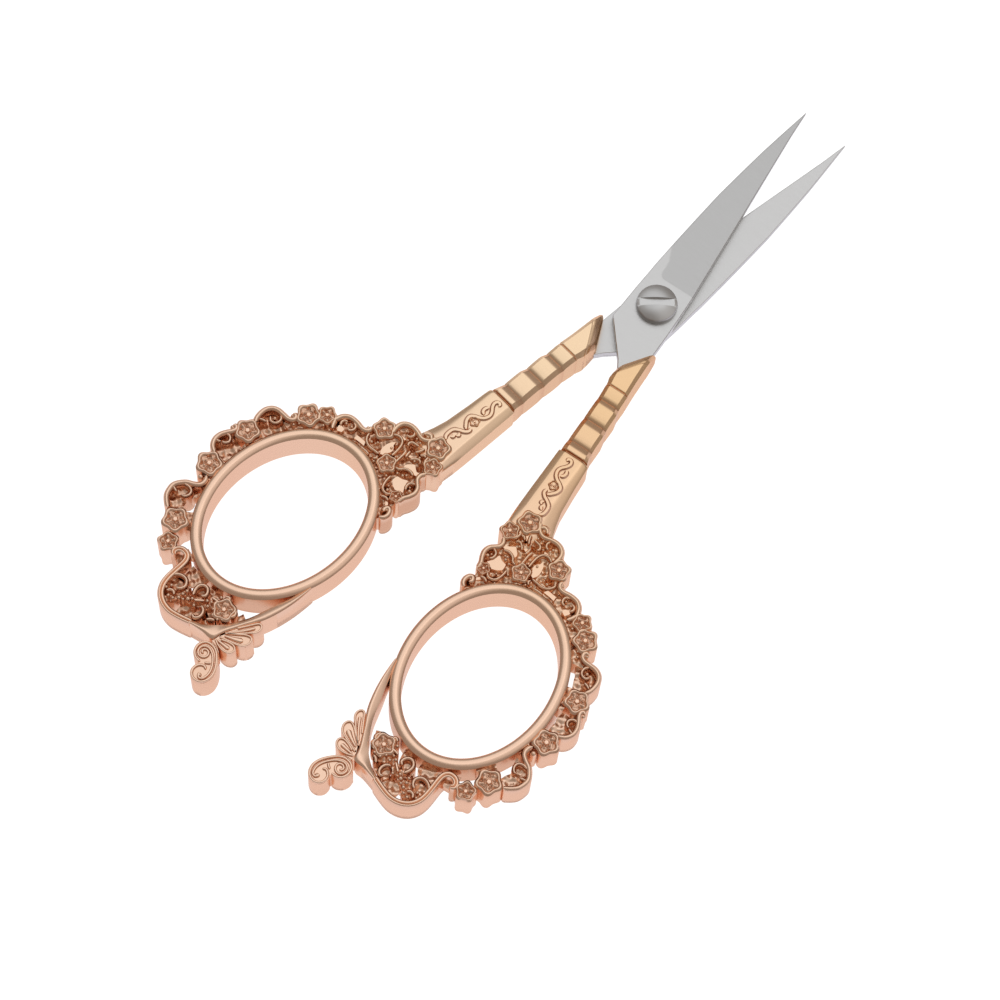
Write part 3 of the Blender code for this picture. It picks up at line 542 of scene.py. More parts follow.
# Openwork border: raised wires, curls and knobs cast round the ring, with open gaps between. Each
# wire has a polished crest and sloping shoulders painted darker as shade, and stands straight
# through to the same on the back.
WIRE_TOP = THICK - 0.04
# Painted shade on walls inside an opening.
INNER_WALL_PAINTED_SHADE = 0.75


def section(across, drop, hollow):
    """Half a section, from its edge to its middle line, joined to its mirror image."""
    across, drop, hollow = (np.array(part) for part in (across, drop, hollow))
    return (np.concatenate([across, -across[-2::-1]]), np.concatenate([drop, drop[-2::-1]]),
            np.concatenate([hollow, hollow[-2::-1]]))


# The third row of each section is painted shade on its shoulders.
CREST = section([1.0, 1.0, 0.84, 0.68, 0.52, 0.34, 0.17, 0.0],
                [1.7, 0.4, 0.27, 0.18, 0.1, 0.04, 0.01, 0.0],
                [0.0, 0.2, 0.4, 0.4, 0.2, 0.0, 0.0, 0.0])
ROLL_EDGE = section([1.0, 1.0, 0.84, 0.7, 0.5, 0.28, 0.0],
                    [1.7, 0.2, 0.13, 0.06, 0.015, 0.0, 0.0],
                    [0.0, 0.4, 0.3, 0.1, 0.0, 0.0, 0.0])


def wire(points, width, top=WIRE_TOP, shape=CREST, enclosed=(0, 0)):
    """A bar of one of the sections above along a smoothed path. A pair of widths narrows it evenly, and
    'enclosed' paints shade on its left and right walls, where they stand inside an opening."""
    width = np.atleast_1d(width)
    path = smooth(points, 0.11, min(width) / 2)
    half = np.interp(np.linspace(0, 1, len(path)), np.linspace(0, 1, len(width)), width) / 2
    across, drop, hollow = shape
    hollow = np.array(hollow, float)
    hollow[0] = max(hollow[0], enclosed[0])
    hollow[-1] = max(hollow[-1], enclosed[1])
    return bar(path, half, across, drop, hollow, top)


def bead(x, y, radius, top=THICK - 0.1):
    """Upright pin whose ends are half ellipsoids: radius R sin a, height R cos a past its shoulders."""
    angle = np.linspace(0, math.pi / 2, 6)
    across = np.concatenate([radius * np.sin(angle), radius * np.sin(angle[::-1])])
    level = top - radius * (1 - np.cos(angle))
    profile = np.stack([across, np.concatenate([level, THICK - level[::-1]])], 1)
    return lathe(profile, 20, (x, y))


def matched(first, second):
    """Both curves smoothed, then given as many points as the longer one has."""
    curves = [smooth(points) for points in (first, second)]
    way = np.linspace(0, 1, max(len(curve) for curve in curves))
    return [np.stack([np.interp(way, np.linspace(0, 1, len(p)), p[:, k]) for k in (0, 1)], 1)
            for p in curves]


def web(first, second, top, rough=0.0, across=14, hollow=0.8):
    """Ruled sheet between two curves, closed by the same sheet turned over at mid depth. Its face is
    lowered by a sum of two products of sines of x and y, which reads as cast texture."""
    first, second = matched(first, second)
    t = np.linspace(0, 1, across)[None, :, None]
    flat = first[:, None, :] * (1 - t) + second[:, None, :] * t
    x, y = flat[..., 0], flat[..., 1]
    lumps = (np.sin(3.1 * x + 1.2 * y) * np.sin(2.9 * y - 1.1 * x)
             + 0.25 * np.sin(5.1 * x - 1.9 * y) * np.sin(4.6 * y + 0.9 * x))
    z = top - rough * (1 + lumps) / 2
    # Each web gets one amount of painted shade.
    return pillow(np.dstack([flat, z]), np.dstack([flat, THICK - z]), np.full(x.size, hollow))


SCALLOPS = [
    [(-73, 23.3), (-72.5, 24.15), (-71.8, 24.95), (-70.9, 25.35), (-70.1, 25.45), (-69.3, 25.1),
     (-68.55, 24.5), (-68.05, 23.7), (-67.5, 23.05), (-66.9, 22.85), (-66.25, 23), (-65.9, 23.35)],
    [(-62.7, 25.2), (-62.15, 26.2), (-61.3, 26.75), (-60.3, 26.8), (-59.4, 26.45), (-58.7, 26.05),
     (-58.1, 25.9), (-57.75, 26.2), (-58, 26.6)],
    [(-55.4, 24.8), (-54.8, 25.2), (-53.9, 25.4), (-53, 25.35), (-52.2, 24.9), (-51.75, 24.1), (-51.65, 23.1),
     (-51.6, 22.2), (-51.3, 21.65), (-50.8, 21.5), (-50.45, 21.8), (-50.6, 22.2)],
    [(-48.1, 16.8), (-47.4, 17.25), (-46.7, 17.55)],
    [(-47, 17.6), (-46.2, 17.45), (-45.5, 17.1), (-44.95, 16.35), (-44.8, 15.2), (-44.9, 14.1), (-44.7, 13.4),
     (-44.2, 13.1), (-43.8, 13.3)],
    [(-42.3, 10.6), (-41.2, 10.85), (-40.3, 10.7), (-39.7, 10.1), (-39.45, 9.3), (-39.5, 8.4), (-39.7, 7.5),
     (-39.65, 6.9), (-39.3, 6.35), (-38.8, 6), (-38.2, 5.8)],
    [(-38.9, 6.1), (-38.5, 6.6), (-38.7, 7.2), (-39.1, 7.4)],
    [(-48.9, 2.4), (-47.9, 2.3), (-47.1, 1.95), (-46.2, 1.75), (-45.4, 2), (-44.85, 2.6), (-44.4, 3.05),
     (-43.7, 3.15), (-43, 2.75)],
    [(-52.3, 2.5), (-51.8, 2), (-51.1, 1.9), (-50.5, 2.2), (-50.4, 2.65), (-50.9, 2.85), (-51.3, 2.6)],
]
HOOKS = [
    [(-68.9, 24.5), (-68.7, 23.8), (-68.9, 23.1), (-69.5, 22.85), (-70.1, 23.1), (-70.35, 23.6)],
    [(-70.3, 25.3), (-70.4, 24.8), (-70.5, 24.35)],
    [(-59.5, 26.3), (-59.4, 25.8), (-59.65, 25.35), (-60.1, 25.15), (-60.6, 25.4), (-60.75, 25.8)],
    [(-61.2, 26.7), (-61.1, 26.3), (-60.9, 25.9)],
    [(-53.2, 24.1), (-53.6, 23.6), (-53.45, 23), (-52.95, 22.7), (-52.35, 22.8), (-52.05, 23.2)],
    [(-54.6, 24.9), (-54.3, 24.4), (-54.2, 23.9)],
    [(-46.5, 15.4), (-46.3, 14.9), (-45.8, 14.7), (-45.3, 14.9), (-45.2, 15.4)],
    [(-46.8, 16.4), (-46.4, 16.7), (-45.9, 16.6), (-45.7, 16.1)],
]
border = [wire(points, 0.86, enclosed=(0, INNER_WALL_PAINTED_SHADE)) for points in SCALLOPS]
border += [wire(points, 0.6, THICK - 0.2, enclosed=(INNER_WALL_PAINTED_SHADE, INNER_WALL_PAINTED_SHADE)) for points in HOOKS]
# Round floors lie at mid depth inside the curls, put there for the shade seen in them and painted
# dark, and beads stand on the curls' ends.
FLOOR_BACK, FLOOR_FACE = 2.3, 3.7
for x, y, radius in ((-69.5, 23.7, 0.8), (-60.15, 25.9, 0.65), (-52.8, 23.4, 0.8), (-46.2, 15.7, 0.9)):
    profile = [(0, FLOOR_FACE), (radius, FLOOR_FACE), (radius, FLOOR_BACK), (0, FLOOR_BACK)]
    border.append(lathe(profile, 24, (x, y), 1.0))
border += [bead(x, y, radius, 5.7) for x, y, radius in (
    (-66.5, 23.9, 0.45), (-58.2, 26.45, 0.4), (-50.75, 22, 0.4), (-44.2, 13.5, 0.32),
    (-38.9, 6.8, 0.36), (-52.9, 23.5, 0.25), (-46, 16.1, 0.22), (-45.8, 15.2, 0.2),
    (-65.9, 22.6, 0.22), (-51.6, 21, 0.22), (-50.9, 20.6, 0.22), (-48.6, 18.1, 0.24),
)]
# Webs tie the scallops to the ring. Each is two edges, the height of its face, how rough that is, the
# points across it and how much painted shade darkens it. The lower ones after them are thin floors
# in the gaps, put there for the shade seen in them.
border += [
    web([(-67.6, 22.9), (-66.9, 22.8), (-66, 23), (-65.2, 23.1)],
        [(-67.2, 21.8), (-66.6, 22), (-65.9, 22.2), (-65, 22.4)], 5, 0.3),
    web([(-62.8, 24.4), (-62.5, 25.4)], [(-62.9, 22.9), (-62.3, 23)], 4.9, 0.3),
    web([(-52.3, 22.4), (-51.8, 22.2), (-51.3, 21.7), (-50.5, 21.6)],
        [(-52.6, 20.6), (-52, 20.3), (-51.2, 19.8), (-50.4, 19.3)], 5, 0.3),
    web([(-48.2, 17.2), (-47, 16.8), (-45.4, 16.6), (-45.3, 15), (-45.4, 13.6)],
        [(-48.9, 17), (-48.2, 15.9), (-47.6, 14.6), (-47.4, 14.2), (-47.3, 13.4)], 4.9, 0.3),
    web([(-47.7, 16.2), (-47.1, 16.6), (-46.7, 16.5)],
        [(-47.4, 15.6), (-47, 15.6), (-46.8, 15.8)], 5.55, 0, 6, 0),
    web([(-73.6, 20.6), (-71.6, 21.6)], [(-72.9, 18.9), (-70.4, 20.4)], 5, 0.3),
    web([(-66.4, 23.4), (-64.4, 23.4), (-62.6, 23.6)], [(-66.2, 22), (-64.4, 22.4), (-62.4, 22.6)], 5, 0.3),
    web([(-59, 23.6), (-57, 23.6), (-55.4, 23.6)], [(-59.2, 22.5), (-57, 22.1), (-55.8, 21.9)], 5, 0.3),
    web([(-50.4, 20.4), (-49, 19.2), (-47.6, 18), (-47.2, 17)],
        [(-51.2, 19.3), (-50, 18.5), (-49, 17.2), (-48.3, 16.2)], 5, 0.3),
    web([(-57.8, 25.4), (-58.1, 26), (-57.6, 26.3)],
        [(-57.2, 25.2), (-57, 25.6), (-57, 25.9)], 5.4, 0, 6, 0.6),
]
border += [
    web([(-72.6, 23.6), (-71.4, 24.7), (-70.2, 25), (-69, 24.4), (-68.3, 23.4)],
        [(-72, 21.9), (-71, 22.4), (-70, 22.8), (-69, 22.4), (-67.9, 22.2)], 4.2, 0.3, 16, 0.4),
    web([(-62.4, 25.3), (-61.3, 26.3), (-60.2, 26.4), (-58.9, 25.8)],
        [(-62, 23.5), (-61, 23.6), (-60, 23.5), (-59, 23.6)], 4.2, 0.3, 16, 0.4),
    web([(-55.2, 24.6), (-54, 25), (-52.7, 24.7), (-52, 23.6)],
        [(-55.2, 22.7), (-54.3, 22.3), (-53.2, 21.9), (-52.4, 21.3)], 4.2, 0.3, 16, 0.4),
    web([(-46.8, 17.2), (-45.8, 16.7), (-45.2, 15.6), (-45.2, 14.2)],
        [(-47.8, 16.3), (-47.4, 15.2), (-46.9, 14.2), (-46.4, 13.4)], 3.3, 0.25, 12, 0.4),
    web([(-75.2, 17.6), (-75.6, 16.6), (-75, 15.6)],
        [(-74.4, 17.6), (-74.6, 16.6), (-74.6, 15.4)], 3.3, 0.25, 8, 0.4),
]
cast_piece("openwork_border", border)

# Blossoms: small five-petalled flowers cast on the border, each with a raised rim, veined petals and
# a round bead in its middle.
BEAD_TO = 0.25
RIM_AT = 0.82
EDGE_FROM = 0.9
FLOWERS = [
    (-76.3, 19.5, 1.6, 51), (-73.4, 21.3, 2.05, 9), (-64.3, 24.5, 2.05, 20), (-57.05, 24.6, 1.95, 17),
    (-49.1, 20.6, 1.95, 20), (-47.2, 18.8, 1.55, 14), (-42.65, 11.8, 1.8, 50), (-39.1, 4.5, 1.95, 26),
    (-41.7, 2.9, 1.55, 33), (-46, 7.7, 1.6, 50), (-48.5, 3.1, 1.08, 14), (-77.3, 6.7, 1.85, 28),
]


def flower(x, y, radius, turn, top=THICK - 0.02):
    """Polar sheet. The outline is radius (0.91 + 0.09 cos 5 a). Going out by r, from 0 to 1, its face
    falls round a flat middle bead, swells along each petal by 0.08 cos 5 a and a mottle of two sines,
    sinks in a narrow bell between petals, and rises by a parabola to a rim, then slopes to its edge."""
    out = np.concatenate([np.linspace(0, 1, 36)[1:], [1.0, 1.0]])
    angle = np.linspace(0, 2 * math.pi, 100, endpoint=False)
    petal = np.cos(5 * (angle - math.radians(turn)))[None, :]
    reach = radius * (0.91 + 0.09 * petal)
    r = out[:, None]
    xs = x + r * reach * np.cos(angle)
    ys = y + r * reach * np.sin(angle)
    inside = np.clip((r - 0.24) / 0.1, 0, 1) * np.clip((0.72 - r) / 0.1, 0, 1)
    mottle = np.sin(6.1 * xs + 2.6 * ys) * np.sin(5.7 * ys - 2.2 * xs)
    drop = 0.3 - inside * (0.08 * petal + 0.07 * mottle)
    drop = drop - 0.2 * np.exp(-((r - 0.48) / 0.09) ** 2 - ((1 + petal) / 0.5) ** 2)
    rim = np.clip(1 - ((r - RIM_AT) / 0.17) ** 2, 0, 1)
    drop = drop * (1 - rim)
    bump = np.clip((BEAD_TO - r) / 0.1, 0, 1)
    drop = np.where(r < BEAD_TO, 0.34 * (1 - bump * bump * (3 - 2 * bump)), drop)
    drop = np.clip(drop, 0, None)
    # Painted shade: darker the deeper the face sinks, and a fixed amount on the edge band.
    hollow = np.clip((drop - 0.08) / 0.22, 0, 1)
    drop = np.where(r > EDGE_FROM, np.minimum(0.34, 0.02 + 1.7 * (r - 0.86)), drop)
    hollow = np.where(r > EDGE_FROM, 0.4, hollow)
    drop[-2:] = [[0.36], [1.7]]
    hollow[-2:] = [[0.3], [0.0]]
    level = top - drop
    rows = np.concatenate([np.dstack([xs, ys, level]), np.dstack([xs, ys, THICK - level])[::-1]])
    points, quads, fans = with_poles(rows, [[x, y, top], [x, y, THICK - top]])
    return points, quads, fans, np.concatenate([hollow.ravel(), hollow[::-1].ravel(), [0, 0]])


cast_piece("blossoms", [flower(*spot) for spot in FLOWERS])

# Openwork at the shank's root: curls, leaves and beads over a recessed ground, with a few smooth
# raised plates between them, all one casting. Deep pits are sunk in the ground.
CLUSTER_WIRES = [
    [(-44.7, 12.7), (-45.2, 12.6), (-45.7, 12.2), (-46, 11.6), (-46.05, 11), (-45.95, 10.3), (-45.85, 9.5)],
    [(-44.7, 8.1), (-43.6, 8.15), (-42.6, 8.35), (-42, 8.8), (-41.85, 9.4), (-42, 9.9), (-42.3, 10.3)],
    [(-42, 7.6), (-41.6, 7.85), (-41.15, 7.6), (-41, 7.05), (-40.9, 6.5)],
    [(-45.9, 6.6), (-45.2, 6.95), (-44.4, 7.05), (-43.4, 7.1), (-42.6, 7.3)],
    [(-43.4, 6.6), (-42.8, 6.75), (-42.3, 6.8)],
    [(-41.9, 6.2), (-41.2, 5.85), (-40.5, 5.7)],
    [(-46.9, 5.9), (-47.9, 5.8), (-48.8, 5.45), (-49.15, 4.9), (-49.1, 4.3), (-48.7, 3.9)],
    [(-45.5, 6.4), (-45.3, 5.85), (-44.8, 5.5), (-44.5, 5), (-44.4, 4.4), (-44.6, 3.8)],
    [(-46.8, 2.9), (-46.4, 3.25), (-45.8, 3.3), (-45.4, 3), (-45.3, 2.6)],
    [(-41, 8.9), (-40.8, 8.45), (-40.3, 8.25), (-39.9, 8.5)],
    [(-42.4, 3.95), (-41.8, 4.3), (-41.1, 4.4)],
    [(-47, 12), (-46.9, 11.2), (-46.95, 10.4)],
    [(-46.9, 9.6), (-46.5, 9.3), (-46.2, 9.5)],
    [(-43.2, 5.9), (-42.7, 5.6), (-42.3, 5), (-42.5, 4.5)],
    [(-41.7, 5.4), (-41.3, 5), (-41.4, 4.6)],
    [(-49.9, 4.6), (-49.6, 4), (-49.7, 3.4)],
]
CLUSTER_BEADS = [
    (-45.3, 11.6, 0.24), (-44.75, 10.9, 0.2), (-45.1, 11, 0.16), (-40.6, 9.45, 0.24), (-48.6, 4.7, 0.25),
    (-46.5, 2.45, 0.28), (-45.6, 4.85, 0.24), (-45.2, 4.5, 0.2), (-42.9, 5.3, 0.2), (-42, 5.2, 0.2),
    (-47.3, 6.4, 0.2), (-46.9, 10, 0.2), (-47.1, 9.2, 0.18), (-43.9, 9, 0.2), (-41.4, 8.3, 0.18),
    (-40.3, 7.6, 0.18), (-42.5, 4.6, 0.2), (-44.4, 7.6, 0.16), (-40.4, 6.8, 0.18), (-48.1, 5, 0.16),
    (-45.9, 5.6, 0.2), (-49.4, 5.6, 0.18), (-50.8, 2.5, 0.18), (-46.1, 2.8, 0.16),
]
cluster = [wire(points, 0.58, THICK - 0.06) for points in CLUSTER_WIRES]
cluster += [bead(x, y, radius, THICK - 0.15) for x, y, radius in CLUSTER_BEADS]
ring_angle = np.radians(np.linspace(12, -52, 16))
ring_side = np.stack([RING_CENTRE[0] + 14.0 * np.cos(ring_angle),
                      RING_CENTRE[1] + 11.0 * np.sin(ring_angle)], 1)
PIT_DEPTH = 0.9
PITS = [(-43.2, 8.75), (-40.3, 8.8), (-45.8, 2.75), (-42.9, 4.2), (-45.2, 5.1), (-41.6, 7), (-48.7, 5.2),
        (-46.4, 14.1), (-41.3, 5.3), (-44.6, 11.5), (-51, 2.4), (-45, 9.2)]
SHANK_SIDE = [(-44.8, 13.6), (-43, 12.6), (-40.6, 10.4), (-39.5, 9), (-39.8, 7), (-39.6, 5.6),
              (-41.2, 3.4), (-42.6, 2.8), (-44.2, 3.1), (-45.6, 2.2), (-47.4, 2.1), (-49.2, 2.6),
              (-50.6, 2.2), (-52, 2.2)]
# The recessed ground is painted darker as shade.
ground = web(ring_side, SHANK_SIDE, 5.25, 0.4, 90, 0.7)
ground_points = ground[0]
for x, y in PITS:
    near = np.exp(-((ground_points[:, 0] - x) ** 2 + (ground_points[:, 1] - y) ** 2) / 0.12)
    ground_points[:, 2] -= PIT_DEPTH * near * np.sign(ground_points[:, 2] - THICK / 2)
cluster += [
    ground,
    web([(-45.65, 9.45), (-45, 9.85), (-44.2, 9.9), (-43.4, 9.7), (-42.8, 9.3)],
        [(-45.5, 9.1), (-44.9, 8.85), (-44.3, 8.6), (-43.8, 8.7), (-43.4, 9.1)], 5.6, 0, 8, 0),
    web([(-47.85, 4), (-47.65, 4.6), (-47.4, 5), (-47.05, 5.35), (-46.2, 5.3)],
        [(-47.3, 2.9), (-46.9, 3.2), (-46.15, 3.6), (-45.6, 3.8), (-46, 4.5)], 5.6, 0, 10, 0),
    web([(-44.75, 5.65), (-44.1, 5.75), (-43.55, 5.3), (-43.2, 4.9), (-43.5, 4.4), (-43.75, 3.9),
         (-43.5, 3.4)],
        [(-44.65, 5.4), (-44.5, 5.1), (-44.35, 4.8), (-44.3, 4.4), (-44.35, 4), (-44.3, 3.7), (-44.2, 3.3)],
        5.6, 0.0, 8, 0.0),
    web([(-46.75, 13.7), (-46.6, 12.8), (-46.5, 11.9)], [(-46.1, 13.7), (-46, 12.8), (-45.95, 12.2)],
        5.6, 0.0, 6, 0.0),
]
SMALL_PLATES = [
    ([(-50.7, 3), (-50.2, 3.45), (-49.75, 3.9)], [(-50.35, 2.9), (-50, 3.1), (-49.75, 3.4)]),
    ([(-41.75, 8.7), (-41.8, 9.2), (-41.7, 9.7)], [(-41.4, 8.6), (-41.45, 9.1), (-41.5, 9.4)]),
    ([(-43.5, 7.35), (-43, 7.4), (-42.5, 7.45)], [(-43.35, 6.95), (-42.9, 6.9), (-42.6, 7.1)]),
    ([(-43, 6.45), (-42.6, 6.6)], [(-42.8, 6), (-42.6, 6.2)]),
]
cluster += [web(first, second, 5.5, 0.0, 6, 0.0) for first, second in SMALL_PLATES]
cast_piece("root_openwork", cluster)

# Loop and sprig: an outer loop, rolled to two crests, that leaves the border in a knuckle, with a
# curled sprig cast inside it. Low floors stand in the gaps of both, put there for the shade seen in
# them and painted darker.
LOOP = [(-77, 17.3), (-76.7, 17.8), (-76.1, 17.75), (-75.65, 17.2), (-75.65, 16.4), (-76.15, 15.85),
        (-77, 15.65), (-78.5, 15.6), (-79.9, 15.5), (-81, 15.2), (-81.9, 14.6), (-82.5, 13.8),
        (-82.85, 12.8), (-82.9, 11.6), (-82.6, 10.4), (-82.2, 9.3), (-81.8, 8.3)]
# The third row of the section is painted shade, darkest in the groove between the crests.
TWO_CREST = (
    [1, 1, 0.86, 0.72, 0.5, 0.3, 0.2, 0.08, 0.0, -0.08, -0.2, -0.3, -0.5, -0.66, -0.78, -1, -1],
    [1.7, 0.24, 0.14, 0.04, 0, 0.01, 0.06, 0.16, 0.18, 0.16, 0.06, 0.01, 0, 0.05, 0.14, 0.3, 1.7],
    [0, 0.2, 0.3, 0.1, 0, 0, 0.1, 0.5, 0.6, 0.5, 0.1, 0, 0, 0.1, 0.4, 0.3, 0],
)
SPRIG = [
    [(-79, 15.4), (-78.4, 14.85), (-78.1, 14.1), (-78.25, 13.4), (-78.9, 12.95), (-79.6, 13.15),
     (-79.95, 13.65)],
    [(-79, 11.2), (-78.3, 11.6), (-77.5, 11.7), (-76.95, 11.3), (-76.85, 10.7), (-77.2, 10.2), (-77.8, 10),
     (-78.25, 10.4)],
    [(-79.2, 9.2), (-79.4, 8.65), (-79.95, 8.3), (-80.6, 8.3), (-81.05, 8.7), (-80.95, 9.2)],
    [(-81.2, 14.2), (-80.7, 13.9), (-80.6, 13.4), (-80.9, 13)],
    [(-80, 7.3), (-79.5, 6.9), (-79.3, 6.4)],
    [(-75.9, 8), (-75.6, 7.5), (-75.9, 7.1)],
    [(-76.2, 5.4), (-76.8, 5.1), (-77.4, 5.3)],
    [(-78.6, 6), (-78.2, 5.5), (-77.9, 5.3)],
]
sprig = [wire(LOOP, 0.98, WIRE_TOP, TWO_CREST, enclosed=(INNER_WALL_PAINTED_SHADE, 0))]
sprig += [wire(points, 0.66, THICK - 0.12, enclosed=(INNER_WALL_PAINTED_SHADE, INNER_WALL_PAINTED_SHADE)) for points in SPRIG]
sprig += [
    wire([(-79.35, 10.5), (-78.9, 10), (-78.45, 9.5)], (0.5, 0.34), THICK - 0.05, ROLL_EDGE),
    wire([(-77.35, 9.1), (-77.2, 8.5), (-77.15, 7.9)], (0.34, 0.42), THICK - 0.05, ROLL_EDGE),
]
sprig += [bead(x, y, radius) for x, y, radius in (
    (-80.65, 12.3, 0.3), (-79.85, 11.3, 0.34), (-79.9, 12.3, 0.26), (-79.2, 12.2, 0.26), (-81.5, 13.5, 0.26),
    (-80.2, 14.3, 0.24), (-81.3, 12.8, 0.24), (-78.1, 9.25, 0.26), (-80.4, 11.7, 0.22), (-79.4, 10.9, 0.26),
    (-77.8, 8.7, 0.22), (-78.9, 7.2, 0.28), (-78.3, 7.8, 0.24), (-78.9, 6.3, 0.24), (-76.4, 8.3, 0.24),
    (-79.9, 10, 0.24), (-80.9, 14.6, 0.22), (-78.6, 8.6, 0.24), (-78.6, 12.3, 0.2),
)]
# The webs inside the loop are painted darkest, as shade.
sprig += [
    web([(-82.3, 13.4), (-81.6, 14.7), (-80.3, 15.2), (-78.8, 15.3)],
        [(-81.5, 12.4), (-80.7, 12.1), (-79.8, 12.2), (-78.6, 12.8)], 5, 0.4, 24, 1),
    web([(-80.6, 12.2), (-80.1, 11), (-79.6, 9.8), (-79, 8.9), (-79.5, 7)],
        [(-79.2, 12.2), (-78.8, 11), (-78, 9.6), (-77.4, 8.8), (-77.6, 7.6)], 5, 0.4, 24, 1),
    web([(-78.8, 11.3), (-77.9, 11.5), (-77.2, 11.2)],
        [(-78.6, 10.8), (-77.9, 10.2), (-77.2, 10.4)], 4.2, 0.2, 10, 1),
    web([(-81, 9.3), (-80.2, 9.6), (-79.4, 9.2)],
        [(-80.9, 8.7), (-80.2, 8.4), (-79.5, 8.7)], 4.2, 0.2, 10, 1),
    web([(-76.9, 17.4), (-76.3, 17.8), (-75.8, 17.3)],
        [(-77, 16.3), (-76.4, 15.9), (-75.8, 16.4)], 4, 0.2, 10, 1),
]
sprig += [
    web([(-77.9, 14.9), (-78, 13.6), (-77.6, 12.6), (-76.8, 12)],
        [(-75.6, 15.2), (-75.7, 14), (-75.8, 13), (-75.8, 12)], 3.3, 0.25, 14, 0.4),
    web([(-77, 11), (-77.2, 10), (-77.2, 9.2)], [(-75.8, 11.2), (-75.7, 10), (-75.5, 9)], 3.3, 0.25, 10, 0.4),
    web([(-81.9, 11.8), (-81.6, 10.4), (-81.2, 9.2), (-80.6, 7.8), (-79.7, 6.6)],
        [(-80.3, 12), (-80, 10.6), (-79.7, 9.4), (-79.2, 8.4), (-78.7, 7.2)], 3.3, 0.25, 14, 0.4),
    web([(-79.4, 6.4), (-78.4, 5.5), (-77, 4.8), (-75.6, 4.2)],
        [(-78.9, 7.4), (-77.6, 6.2), (-76.6, 5.6), (-75.2, 5.2)], 3.3, 0.25, 10, 0.4),
]
cast_piece("loop_and_sprig", sprig)

# Stem: a broad roof-like ridge, where the loop's foot turns and runs into the ring's lower side.
STEM_OUTER = [(-82.25, 8.6), (-81.9, 7.4), (-81.6, 6.2), (-81.5, 5), (-81.1, 4.5), (-80.3, 4.35),
              (-79.5, 4.15), (-78.4, 3.7), (-77, 3.1), (-75.8, 2.5), (-74.5, 1.9), (-73.2, 1.5),
              (-71.6, 1.15), (-69.8, 0.9), (-68, 0.8), (-66.4, 0.78)]
STEM_INNER = [(-81.5, 8.6), (-81.1, 7.8), (-80.8, 7.2), (-80.4, 6.7), (-80.1, 6.35), (-79.7, 5.95),
              (-79.2, 5.5), (-78.4, 4.95), (-77.4, 4.4), (-76, 3.7), (-74.6, 3.2), (-73.2, 2.85),
              (-71.6, 2.45), (-69.8, 1.95), (-68, 1.6), (-66.4, 1.3)]
CREST_AT = 0.3
OUTER_FALL = 0.25
INNER_FALL = 0.42


def stem():
    """Ruled sheet between two curves: it falls from its crest as the square of the way to the outer
    edge, and as the 1.4th power of the way to the inner edge."""
    outer, inner = matched(STEM_OUTER, STEM_INNER)
    u = (1 - np.cos(np.linspace(0, math.pi, 19)))[None, :, None] / 2
    flat = outer[:, None, :] * (1 - u) + inner[:, None, :] * u
    outward = np.clip(CREST_AT - u[..., 0], 0, None) / CREST_AT
    inward = np.clip(u[..., 0] - CREST_AT, 0, None) / (1 - CREST_AT)
    fall = OUTER_FALL * outward ** 2 + INNER_FALL * inward ** 1.4
    z = np.repeat(WIRE_TOP - fall, len(outer), 0)
    return pillow(np.dstack([flat, z]), np.dstack([flat, THICK - z]))


cast_piece("loop_stem", [stem()])

# Foot: a double scroll and a three-leaved palmette at the handle's heel, drawn in low rounded
# ridges over a plate that runs through the whole thickness.
FOOT_RIM = [(-87.2, 2), (-86.9, 2.85), (-86.3, 3.35), (-85.5, 3.45), (-84.9, 3.3), (-84.85, 4.2), (-84.4, 5),
            (-83.6, 5.45), (-82.7, 5.45)]
FOOT_RIM_BACK = [(-87.05, 1.5), (-86.7, 0.85), (-86, 0.42), (-85, 0.33), (-83.9, 0.75), (-82.9, 1.55),
                 (-82.1, 2.5), (-81.7, 3.4), (-81.75, 4.4), (-82.1, 5)]
SCROLLS = [
    ([(-84.7, 3.3), (-84.7, 4.1), (-84.25, 4.85), (-83.5, 5.2), (-82.8, 5.15), (-82.2, 4.75), (-81.95, 4.1),
      (-81.95, 3.4), (-82.3, 2.6), (-83, 1.8), (-84, 1), (-85, 0.6), (-86, 0.7), (-86.7, 1.2),
      (-86.95, 1.95), (-86.75, 2.65), (-86.2, 3.1), (-85.5, 3.15), (-84.95, 2.85), (-84.7, 2.35),
      (-84.85, 1.9)], 0.42),
    ([(-85.75, 2.05), (-86.1, 2), (-86.35, 1.65), (-86.05, 1.2), (-85.2, 1.1), (-84.3, 1.4), (-83.4, 2.1),
      (-82.8, 2.85), (-82.5, 3.7), (-82.65, 4.35), (-83.2, 4.75), (-83.85, 4.6), (-84.2, 4.05), (-84, 3.45),
      (-83.5, 3.2), (-83, 3.4), (-82.9, 3.9), (-83.2, 4.25), (-83.55, 4.15), (-83.6, 3.85)], 0.4),
    ([(-84.35, 2.75), (-84.1, 2.4), (-83.8, 2.1)], 0.4),
]
foot = [wire(points, width, shape=ROLL_EDGE) for points, width in SCROLLS]
